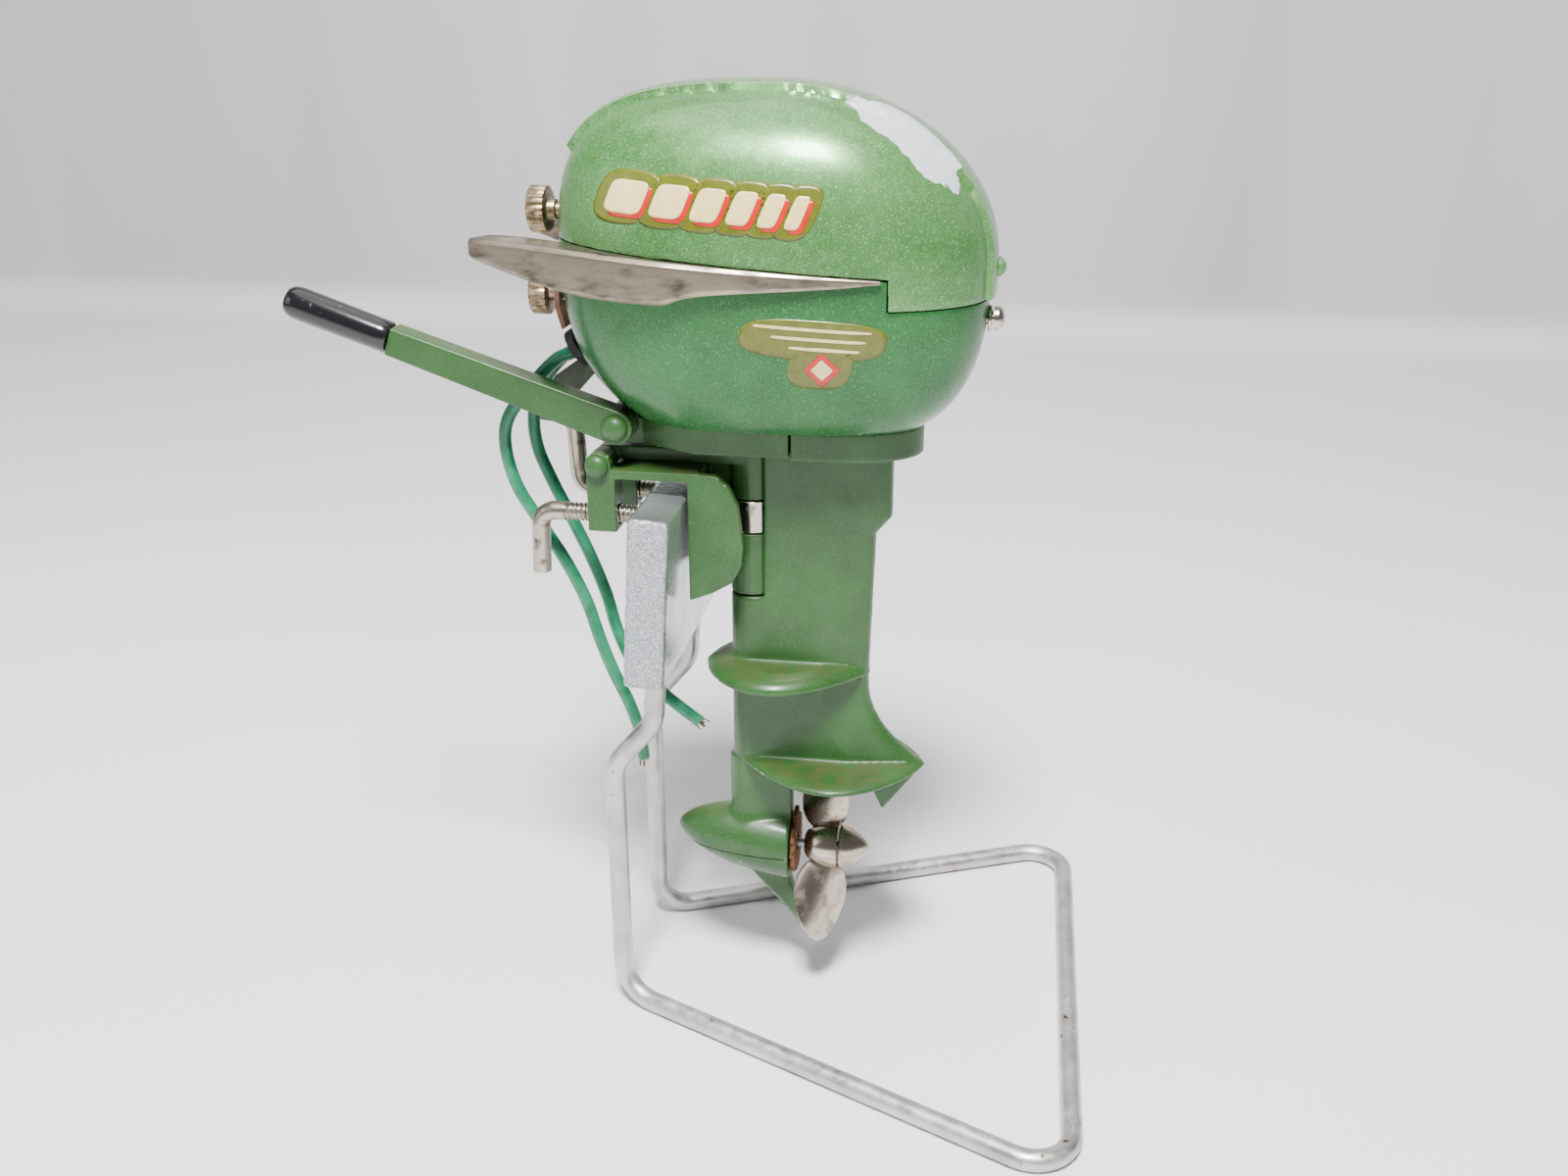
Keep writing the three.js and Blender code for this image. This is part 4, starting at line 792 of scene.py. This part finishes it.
# ---------------------------------------------------------------- gear cover
# The lower half of the gear housing, a green casting in one with the skeg. It closes the gears in
# from below.
skeg_rings = []
for z, fore, aft, half in ((21.5, 4.4, 13.4, 1.3), (19.4, 6.4, 13.6, 1.05), (16.4, 9.0, 14.3, 0.9),
                           (13, 12, 15, 0.7), (10.4, 14.1, 15.6, 0.5), (8.9, 15, 15.9, 0.35)):
    skeg_rings.append([(fore, 0, z), (fore + 0.9, -half, z), (aft - 0.6, -half, z), (aft, 0, z),
                       (aft - 0.6, half, z), (fore + 0.9, half, z)])
cover = joined("gear_cover_casting", [housing("housing_bottom"), skin("skeg", skeg_rings)])
cover = trimmed(cast(cover, 0.2 * mm, 4), prop_axis - 0.12, False)
smooth(cover, 50)
place_piece(cover, casting_green, "casting_green", "motor", "gear_cover")


# ---------------------------------------------------------------- tail washer
# A thin steel washer between the gear housing and the propeller, rusted until its rim is ragged
# and its faces are pitted.
def rust_material():
    material, tree, shader, place = start_material("rust", 0.9)
    scale = noise(tree, place, 0.8 * mm, 10)
    tone = ramp(tree, scale, 0.35, 0.65, (0.035, 0.014, 0.006), (0.23, 0.09, 0.028))
    paint(tree, shader, tone)
    bumps(tree, shader, noise(tree, place, 0.5 * mm, 8), 1.0, 0.4 * mm)
    return material


washer_profile = [(1.4, 0), (5.1, 0), (5.2, 0.35), (5.1, 0.7), (1.4, 0.7), (1.4, 0)]
washer = turned("rusty_washer", washer_profile, (13.9, 0, prop_axis), (1, 0, 0), 72)
rng = random.Random(5)
ragged = [rng.uniform(-0.5, 0.12) * mm for _ in range(25)]
for vertex in washer.data.vertices:
    arm_y, arm_z = vertex.co.y, vertex.co.z - prop_axis * mm
    radius = math.hypot(arm_y, arm_z)
    if radius > 4 * mm:
        turn = (math.atan2(arm_z, arm_y) / (2 * math.pi) % 1) * 24
        n = int(turn)
        push = ragged[n] + (ragged[(n + 1) % 24] - ragged[n]) * (turn - n)
        if abs(turn - 6) < 1.2:
            push += 1.1 * mm
        vertex.co.y += arm_y / radius * push
        vertex.co.z += arm_z / radius * push
        vertex.co.x += (rng.random() - 0.5) * 0.12 * mm
place_piece(washer, rust_material(), "rusted_steel", "motor", "tail_washer")


# ---------------------------------------------------------------- propeller
# Two broad oval blades on a hub, all nickel-plated brass. An acorn nut holds it on its shaft and
# closes the hub to a point.
prop_nickel = nickel_material(
    "prop_nickel", (0.52, 0.45, 0.37), (0.17, 0.11, 0.06), 0.42, 0.22, softness=0.3
)
prop_x = 19.4
blade_objects = []
for turn in (math.radians(-21), math.radians(159)):
    deselect()
    bpy.ops.mesh.primitive_uv_sphere_add(segments=48, ring_count=32, radius=1)
    blade = bpy.context.object
    for vertex in blade.data.vertices:
        radius = 9.2 + 7.0 * vertex.co.z
        chord = 4.4 * vertex.co.x * (1.06 - 0.08 * vertex.co.z)
        thick = (0.62 - 0.018 * radius) * vertex.co.y + 0.32 * (1 - vertex.co.x**2)
        pitch = math.atan2(14, radius * 1.2) + 0.12
        x = chord * math.sin(pitch) + thick * math.cos(pitch) + prop_x - 0.6
        y = -chord * math.cos(pitch) + thick * math.sin(pitch)
        across = y * math.cos(turn) - radius * math.sin(turn)
        up = y * math.sin(turn) + radius * math.cos(turn)
        vertex.co = Vector((x, across, prop_axis + up)) * mm
    smooth(blade, 60)
    blade_objects.append(blade)
hub_profile = [(0, -3.6), (1.5, -3.6), (2.3, -3.2), (3, -2.2), (3.45, -1), (3.65, 0.4), (3.7, 2),
               (3.5, 2), (0, 2)]
hub = turned("hub", hub_profile, (prop_x, 0, prop_axis), (1, 0, 0), 64)
propeller = joined("screw_propeller", [hub, *blade_objects])
place_piece(propeller, prop_nickel, "nickel", "propeller", "propeller")
nut_profile = [(1.2, 2.3), (3.5, 2.3), (3.7, 2.5), (3.62, 3.2), (3.3, 4.2), (2.7, 5.2), (1.9, 6.1),
               (1.1, 6.8), (0.5, 7.15), (0.2, 7.28), (0, 7.3)]
nut = turned("acorn_nut", [(0, 2.3), *nut_profile], (prop_x, 0, prop_axis), (1, 0, 0), 64)
place_piece(nut, prop_nickel, "nickel", "propeller", "prop_nut")


# ---------------------------------------------------------------- cowls
# Two green shells of one egg shape: a deep lower bowl and a hood with a raised spine, which drops
# a skirt at the rear. Both are die-cast thin and sprayed in a metallic green, the hood lighter.
cowl = {"x": 11.0, "z": 123.0, "front": 31.2, "rear": 31.0, "half": 18.5, "up": 23.1, "down": 28.0}
cowl_wall = 1.3
notch_x = 28.9
skirt_z = 118.2
cowl_floor = 99.2


def seam_z(x):
    """Height of the seam along the cowl's side."""
    return 125.9 - 3.5 * (x + 20.2) / 49.1


def egg(name, grow=0.0):
    """The whole egg as one shell: a sphere drawn out by a curve of its own in each direction."""
    deselect()
    bpy.ops.mesh.primitive_uv_sphere_add(segments=144, ring_count=90, radius=1)
    piece = bpy.context.object
    piece.name = name
    for vertex in piece.data.vertices:
        relative = max(-1.0, min(1.0, vertex.co.z))
        high = relative >= 0
        size = abs(relative)
        angle = math.atan2(vertex.co.y, vertex.co.x)

        def reach(power):
            return max(1 - size**power, 0) ** (1 / power)

        front = cowl["front"] * reach(3.2 if high else 2.5)
        rear = cowl["rear"] * reach(2 if high else 3)
        half = cowl["half"] * reach(2.5 if high else 2.4)
        along = math.copysign(abs(math.cos(angle)) ** 0.8, math.cos(angle))
        across = math.copysign(abs(math.sin(angle)) ** 0.8, math.sin(angle))
        height = cowl["z"] + relative * (cowl["up"] if high else cowl["down"])
        vertex.co = Vector((cowl["x"] + along * (rear if along > 0 else front), across * half, height)) * mm
    return piece


def score(piece, point, normal):
    """Cuts an edge line through a piece where a plane meets it."""
    open_mesh(piece)
    bpy.ops.mesh.bisect(plane_co=tuple(Vector(point) * mm), plane_no=normal)
    close_mesh()


def remove_faces(piece, unwanted):
    """Deletes the faces whose middle the test says is unwanted."""
    only(piece)
    bpy.ops.object.mode_set(mode="EDIT")
    bpy.ops.mesh.select_mode(type="FACE")
    bpy.ops.mesh.select_all(action="DESELECT")
    close_mesh()
    for face in piece.data.polygons:
        face.select = unwanted(face.center / mm)
    bpy.ops.object.mode_set(mode="EDIT")
    bpy.ops.mesh.delete(type="FACE")
    close_mesh()


def walled(piece, thickness, rim):
    """Gives an open shell its wall, and rounds the rim."""
    wall = piece.modifiers.new("wall", "SOLIDIFY")
    wall.thickness = thickness
    wall.offset = -1
    wall.use_even_offset = True
    round_edges(piece, rim, 2, 50)
    apply_modifiers(piece)
    smooth(piece, 38)


def cut_seam(piece, drop):
    """Scores the seam, the notch and the skirt's edge on a shell, lowered by drop."""
    slope = math.atan2(seam_z(0) - seam_z(10), 10)
    score(piece, (0, 0, seam_z(0) - drop), (math.sin(slope), 0, math.cos(slope)))
    score(piece, (notch_x - drop, 0, 0), (1, 0, 0))
    score(piece, (0, 0, skirt_z - drop), (0, 0, 1))


def in_hood(point, drop):
    edge_z = seam_z(point.x) if point.x < notch_x - drop else skirt_z
    return point.z > edge_z - drop


spine_half = 5.1
spine_foot = 5.5
spine_height = 0.9
spine_start_z = 137.6
rim_radius = 0.14 * mm
hood = egg("hood_shell")
for y in (spine_foot, spine_half, -spine_half, -spine_foot):
    score(hood, (0, y, 0), (0, 1, 0))
for z in (spine_start_z, spine_start_z - 0.5):
    score(hood, (0, 0, z), (0, 0, 1))
hood.data.update()
raised = []
for vertex in hood.data.vertices:
    lowest = 110 if vertex.co.x > 0 else spine_start_z - 0.1
    if abs(vertex.co.y) < (spine_half + 0.1) * mm and vertex.co.z > lowest * mm:
        raised.append((vertex, vertex.normal.copy()))
for vertex, outward in raised:
    vertex.co += outward * spine_height * mm
cut_seam(hood, 0)
remove_faces(hood, lambda p: not in_hood(p, 0))
walled(hood, cowl_wall * mm, rim_radius)


def hood_material():
    """Light metallic green with a fine sparkle and a painted highlight along the spine's edges, and a pale
    grey patch beside the spine at the rear.
    """
    material, tree, shader, place = start_material("hood_green", 0.27, metallic=0.35, coat=0.35)
    tone = ramp(tree, noise(tree, place, 11 * mm, 4), 0.3, 0.7, (0.045, 0.17, 0.036), (0.085, 0.235, 0.065))
    mottled = ramp(tree, noise(tree, place, 1.3 * mm, 6), 0.45, 0.75, BLACK, (0.25,) * 3)
    tone = mix(tree, mottled, tone, (0.15, 0.32, 0.13))
    flakes = ramp(tree, noise(tree, place, 0.2 * mm, 2), 0.56, 0.72, BLACK, (0.5,) * 3)
    tone = mix(tree, flakes, tone, (0.5, 0.72, 0.45))
    # Painted highlight: a thin lighter green line along each edge of the raised spine, for the light those
    # edges catch.
    sideways = figure(tree, "ABSOLUTE", part_of(tree, place, "Y"))
    off_edge = figure(tree, "ABSOLUTE", figure(tree, "SUBTRACT", sideways, 5.12 * mm))
    line = ramp(tree, figure(tree, "MULTIPLY", off_edge, 1 / mm), 0.1, 0.18, (0.75,) * 3, BLACK)
    tone = mix(tree, line, tone, (0.3, 0.46, 0.22))
    # A pale grey, non-metallic patch with a ragged edge, beside the spine at the rear on the port side.
    centred = tree.nodes.new("ShaderNodeMapping")
    centred.vector_type = "TEXTURE"
    centred.inputs["Location"].default_value = (29.6 * mm, -6.6 * mm, 138.2 * mm)
    centred.inputs["Rotation"].default_value = (0, math.radians(34), math.radians(-8))
    centred.inputs["Scale"].default_value = (13.2 * mm, 5.9 * mm, 9 * mm)
    tree.links.new(place, centred.inputs["Vector"])
    length = tree.nodes.new("ShaderNodeVectorMath")
    length.operation = "LENGTH"
    tree.links.new(centred.outputs["Vector"], length.inputs[0])
    edge = figure(tree, "MULTIPLY_ADD", noise(tree, place, 4.5 * mm, 5), 0.55, length.outputs["Value"])
    pale_patch = ramp(tree, edge, 0.985, 1.0, WHITE, BLACK)
    tone = mix(tree, pale_patch, tone, (0.52, 0.53, 0.56))
    paint(tree, shader, tone)
    tree.links.new(mix(tree, pale_patch, (0.35, 0.35, 0.35), BLACK), shader.inputs["Metallic"])
    rough = ramp(tree, noise(tree, place, 3 * mm, 6), 0.3, 0.7, (0.24,) * 3, (0.36,) * 3)
    tree.links.new(rough, shader.inputs["Roughness"])
    bumps(tree, shader, noise(tree, place, 0.35 * mm, 4), 0.1, 0.05 * mm)
    return material


hood_green = hood_material()
place_piece(hood, hood_green, "hood_green", "motor", "hood")

bowl = egg("cowl_bowl")
cut_seam(bowl, 0.3)
score(bowl, (0, 0, cowl_floor), (0, 0, 1))
remove_faces(bowl, lambda p: in_hood(p, 0.3))
for vertex in bowl.data.vertices:
    vertex.co.z = max(vertex.co.z, cowl_floor * mm)
walled(bowl, cowl_wall * mm, rim_radius)
cowl_green = enamel_material(
    "cowl_green", (0.018, 0.128, 0.028), (0.012, 0.094, 0.02), 0.27, metallic=0.35, sparkle=0.3
)
place_piece(bowl, cowl_green, "cowl_green", "motor", "lower_cowl")


# ---------------------------------------------------------------- trim bands
# A nickel-plated casting under each side of the hood, tarnished grey, which runs forward as a
# flat-topped prong.
trim_nickel = nickel_material(
    "trim_nickel", (0.38, 0.32, 0.245), (0.07, 0.06, 0.052), 0.78, 0.3, streak=(0.55, 1, 1.6), softness=0.28
)
for side in ("port", "starboard"):
    band = copy_of(f"trim_band_{side}", f"band_moulding_{side}")
    open_mesh(band)
    bpy.ops.mesh.tris_convert_to_quads(face_threshold=math.radians(60), shape_threshold=math.radians(60))
    close_mesh()
    round_edges(band, 0.22 * mm, 2)
    finer = band.modifiers.new("finer", "SUBSURF")
    finer.levels = 2
    finer.render_levels = 2
    apply_modifiers(band)
    only(band)
    bpy.ops.object.shade_smooth()
    place_piece(band, trim_nickel, "nickel", "motor", f"trim_band_{side}")


# ---------------------------------------------------------------- knobs
# Knurled brass knobs with most of their plating gone, on studs through the front of the cowl. The
# lower one turns over a collar of brown board.
def dark_brass_material():
    material, tree, shader, place = start_material("dark_brass", 0.42, metallic=1.0)
    tone = ramp(tree, noise(tree, place, 1.1 * mm, 7), 0.35, 0.65, (0.12, 0.085, 0.045), (0.42, 0.33, 0.21))
    paint(tree, shader, tone)
    bumps(tree, shader, noise(tree, place, 0.3 * mm, 5), 0.2, 0.06 * mm)
    return material


dark_brass = dark_brass_material()


def edged_copy(node, name, width, angle=30, segments=3):
    """A copy of a CAD node with its flat faces whole and its edges rounded."""
    piece = copy_of(node, name)
    open_mesh(piece)
    bpy.ops.mesh.dissolve_limited(angle_limit=math.radians(0.6))
    close_mesh()
    round_edges(piece, width, segments, angle)
    apply_modifiers(piece)
    smooth(piece, 40)
    return piece


for place_name in ("upper", "lower"):
    knob = edged_copy(f"{place_name}_knob", f"knurled_knob_{place_name}", 0.1 * mm, 20, 2)
    place_piece(knob, dark_brass, "nickel", f"knob_{place_name}", f"{place_name}_knob")


# ---------------------------------------------------------------- rear screw and boss
# A round-headed nickel screw and its washer draw the hood's skirt against the bowl. The small
# green boss above them is a stud pressed into the hood.
rear_x = 41.8
rear_screw_z = 114.6
washer_ring = [(1.15, 0), (1.75, 0), (1.9, 0.15), (1.9, 0.45), (1.75, 0.6), (1.15, 0.6), (1.15, 0)]
rear_ring = turned("screw_washer", washer_ring, (rear_x, 0, rear_screw_z), (1, 0, 0))
place_piece(rear_ring, bright_nickel, "nickel", "motor", "rear_washer")
screw_profile = [(0, -5), (1, -5), (1, 0.9), (1.8, 0.9), (1.8, 1.5), *dome(1.7, 0.9, 1.5)]
rear_screw = turned("round_head_screw", screw_profile, (rear_x, 0, rear_screw_z), (1, 0, 0))
place_piece(rear_screw, bright_nickel, "nickel", "motor", "rear_screw")
boss_profile = [(0, -2.4), (0.7, -2.4), (0.7, 0), (1.5, 0), (1.4, 0.5), *dome(1.1, 0.6, 0.6)]
boss = turned("cast_boss", boss_profile, (42.85, 0, 121.9), (1, 0, 0))
place_piece(boss, hood_green, "hood_green", "motor", "hood_boss")


# ---------------------------------------------------------------- control lever
# A flat cast lever on the starboard flank, held by a shoulder screw that lets it swing. Its green is
# the casting green darkened as painted shade, for the shade it stands in on that flank.
shaded_casting_green = enamel_material(
    "shaded_casting_green", (0.035, 0.05, 0.022), (0.015, 0.02, 0.012), 0.5, grime=0.6, worn_edges=0.3
)
lever = edged_copy("control_lever", "flat_lever", 0.25 * mm)
place_piece(lever, shaded_casting_green, "casting_green", "lever", "control_lever")


# ---------------------------------------------------------------- tiller
# A tapered cast arm, flat on its port face and rounded along the top, with a black moulded grip
# on its tang. A domed rivet, painted over, is its hinge.
tiller = copy_of("tiller_arm", "tiller_casting")
open_mesh(tiller)
bpy.ops.mesh.dissolve_limited(angle_limit=math.radians(0.6))
close_mesh()
pivot = Vector((-11.8, -6.3, 98.2)) * mm
rise = math.radians(19)
arm_along = Vector((-math.cos(rise), 0, math.sin(rise)))
arm_up = Vector((math.sin(rise), 0, math.cos(rise)))
weights = tiller.data.attributes.new("bevel_weight_edge", "FLOAT", "EDGE")
for edge in tiller.data.edges:
    a, b = (tiller.data.vertices[v].co for v in edge.vertices)
    middle = (a + b) / 2 - pivot
    lengthwise = abs((b - a).normalized().dot(arm_along)) > 0.9
    top = middle.dot(arm_up) > 1.4 * mm and lengthwise and abs(middle.y) > 1.5 * mm
    weights.data[edge.index].value = 1.0 if top else 0.0
round_top = tiller.modifiers.new("round_top", "BEVEL")
round_top.limit_method = "WEIGHT"
round_top.width = 1.35 * mm
round_top.segments = 8
apply_modifiers(tiller)
cast(tiller, 0.13 * mm, 3)
place_piece(tiller, casting_green, "casting_green", "tiller", "tiller_arm")


def black_material():
    material, tree, shader, place = start_material("black_grip", 0.16, coat=0.4)
    specks = ramp(tree, noise(tree, place, 0.8 * mm, 9), 0.69, 0.74, BLACK, WHITE)
    tone = mix(tree, specks, (0.007, 0.007, 0.008), (0.22, 0.2, 0.17))
    paint(tree, shader, tone)
    bumps(tree, shader, noise(tree, place, 1.5 * mm, 4), 0.12, 0.08 * mm)
    return material


black = black_material()
grip_start = 36.2
grip_length = 17.0
grip_profile = [(1.4, 9.6), (1.4, 0.3), (2.3, 0.3), (2.42, 0.5), (2.46, 2), (2.55, grip_length - 2.4),
                (2.5, grip_length - 1.7), (2.35, grip_length - 1.0), (1.95, grip_length - 0.4),
                (1.2, grip_length - 0.08), (0, grip_length)]
grip_base = pivot + arm_along * grip_start * mm
grip = turned("black_grip", [(0, 9.6), *grip_profile], tuple(grip_base / mm), tuple(arm_along), 56)
place_piece(grip, black, "black_plastic", "tiller", "tiller_grip")
rivet_face = -8.6
rivet_profile = [(1, -6), (1, 0), (1.95, 0), *dome(1.95, 1.3, 0.05)]
rivet_base = (pivot.x / mm, rivet_face, pivot.z / mm)
rivet = turned("domed_rivet", [(0, -6), *rivet_profile], rivet_base, (0, -1, 0))
place_piece(rivet, casting_green, "casting_green", "motor", "tiller_rivet")


# ---------------------------------------------------------------- painted badges
# Thin badges of a plain pattern, laid on the paint: slanted bars on the hood, waves and a diamond
# on the bowl. There is no lettering on either.
def flat_colour_material(name, light, dark):
    material, tree, shader, place = start_material(name, 0.34, coat=0.3)
    paint(tree, shader, ramp(tree, noise(tree, place, 1.5 * mm, 5), 0.3, 0.7, dark, light))
    return material


cream = flat_colour_material("badge_cream", (0.8, 0.62, 0.28), (0.7, 0.52, 0.22))
red = flat_colour_material("badge_red", (0.55, 0.012, 0.004), (0.42, 0.008, 0.003))
olive = flat_colour_material("badge_olive", (0.12, 0.13, 0.006), (0.075, 0.09, 0.004))


def badge_patch(name, centre, size, slant, turn, target, lift, material, corner=5.0):
    """A rounded bar laid on a shell: leaning by slant, turned by turn, lifted clear of the paint."""
    deselect()
    bpy.ops.mesh.primitive_grid_add(x_subdivisions=28, y_subdivisions=16, size=2)
    patch = bpy.context.object
    patch.name = name
    for vertex in patch.data.vertices:
        u, v = vertex.co.x, vertex.co.y
        outer = max(abs(u), abs(v)) or 1.0
        length = (abs(u) ** corner + abs(v) ** corner) ** (1 / corner) or 1.0
        u, v = u * outer / length, v * outer / length
        x, z = u * size[0] / 2 + v * size[1] / 2 * slant, v * size[1] / 2
        c, s = math.cos(turn), math.sin(turn)
        vertex.co = Vector((centre[0] + x * c - z * s, -30, centre[1] + x * s + z * c)) * mm
    wrap = patch.modifiers.new("wrap", "SHRINKWRAP")
    wrap.target = target
    wrap.wrap_method = "PROJECT"
    wrap.use_project_y = True
    wrap.use_positive_direction = True
    wrap.use_negative_direction = True
    wrap.offset = lift
    apply_modifiers(patch)
    thick = patch.modifiers.new("film", "SOLIDIFY")
    thick.thickness = 0.02 * mm
    apply_modifiers(patch)
    only(patch)
    bpy.ops.object.shade_smooth()
    patch.data.materials.clear()
    patch.data.materials.append(material)
    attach(patch, "motor")


tilt_down = math.radians(-3.5)
# how far each film lies clear of the paint
under, between, over = 0.05 * mm, 0.09 * mm, 0.13 * mm
bar_x, bar_z, bar_height, bar_gap, bar_slant = -9.6, 132.6, 4.4, 1.15, 0.35
bar_lengths = (5.6, 4.6, 3.8, 3.1, 2.5, 2.0)
for n, width in enumerate(bar_lengths):
    x = bar_x + sum(bar_lengths[:n]) + n * bar_gap + width / 2
    z = bar_z + (x - bar_x) * math.tan(tilt_down)
    halo, bar = (width + 3.4, 7.2), (width, bar_height)
    badge_patch(f"hood_badge_halo_{n}", (x, z), halo, bar_slant, tilt_down, hood, under, olive, 3)
    badge_patch(f"hood_badge_shadow_{n}", (x + 0.55, z - 0.55), bar, bar_slant, tilt_down, hood, between, red)
    badge_patch(f"hood_badge_bar_{n}", (x, z), bar, bar_slant, tilt_down, hood, over, cream)

emblem_x, emblem_z, emblem_slant = 18.8, 114.2, 0.2
for name, centre, size in (
    ("field", (emblem_x, emblem_z), (20, 5.6)),
    ("foot", (emblem_x + 1, emblem_z - 4), (8.6, 6)),
):
    badge_patch(f"bowl_badge_{name}", centre, size, emblem_slant, tilt_down, bowl, under, olive, 3)
for n in range(3):
    centre, size = (emblem_x + n * 0.8, emblem_z + 1.5 - n * 1.4), (16 - 3.2 * n, 0.42)
    badge_patch(f"bowl_badge_wave_{n}", centre, size, emblem_slant, tilt_down, bowl, between, cream)
for name, side, lift, colour in (("diamond_edge", 3.6, between, red), ("diamond", 2.2, over, cream)):
    centre = (emblem_x + 1.3, emblem_z - 4.2)
    badge_patch(f"bowl_badge_{name}", centre, (side, side), 0, math.radians(45), bowl, lift, colour, 12)


# ---------------------------------------------------------------- inner works
# Pieces that the casings hide, and small fittings whose shape needs nothing more. Each takes the
# finish of its own slot.
def turned_metal_material(name, light, dark, roughness=0.35, metallic=1.0):
    material, tree, shader, place = start_material(name, roughness, metallic)
    tone = ramp(tree, noise(tree, place, 1.5 * mm, 6, (1, 1, 6)), 0.3, 0.7, dark, light)
    paint(tree, shader, tone)
    bumps(tree, shader, noise(tree, place, 0.3 * mm, 3, (1, 1, 8)), 0.15, 0.03 * mm)
    return material


steel = turned_metal_material("turned_steel", (0.5, 0.5, 0.5), (0.34, 0.34, 0.35))
brass = turned_metal_material("turned_brass", (0.72, 0.5, 0.2), (0.5, 0.32, 0.12))
board = turned_metal_material("brown_board", (0.13, 0.06, 0.03), (0.06, 0.028, 0.015), 0.6, 0.0)
ferrite = turned_metal_material("ferrite", (0.05, 0.05, 0.052), (0.02, 0.02, 0.022), 0.6, 0.2)
rubber = turned_metal_material("black_rubber", (0.03, 0.03, 0.03), (0.014, 0.014, 0.014), 0.65, 0.0)
slot_finish = {
    "steel": steel, "brass": brass, "brown_board": board, "ferrite": ferrite, "rubber": rubber,
    "nickel": nickel, "casting_green": casting_green,
}
slot_of = {s["node"]: s["material_slot"] for s in frame["record"]["subparts"]}
for name, node in frame["nodes"].items():
    if node.hide_render:
        continue
    node.data.materials.clear()
    node.data.materials.append(slot_finish[slot_of[name]])
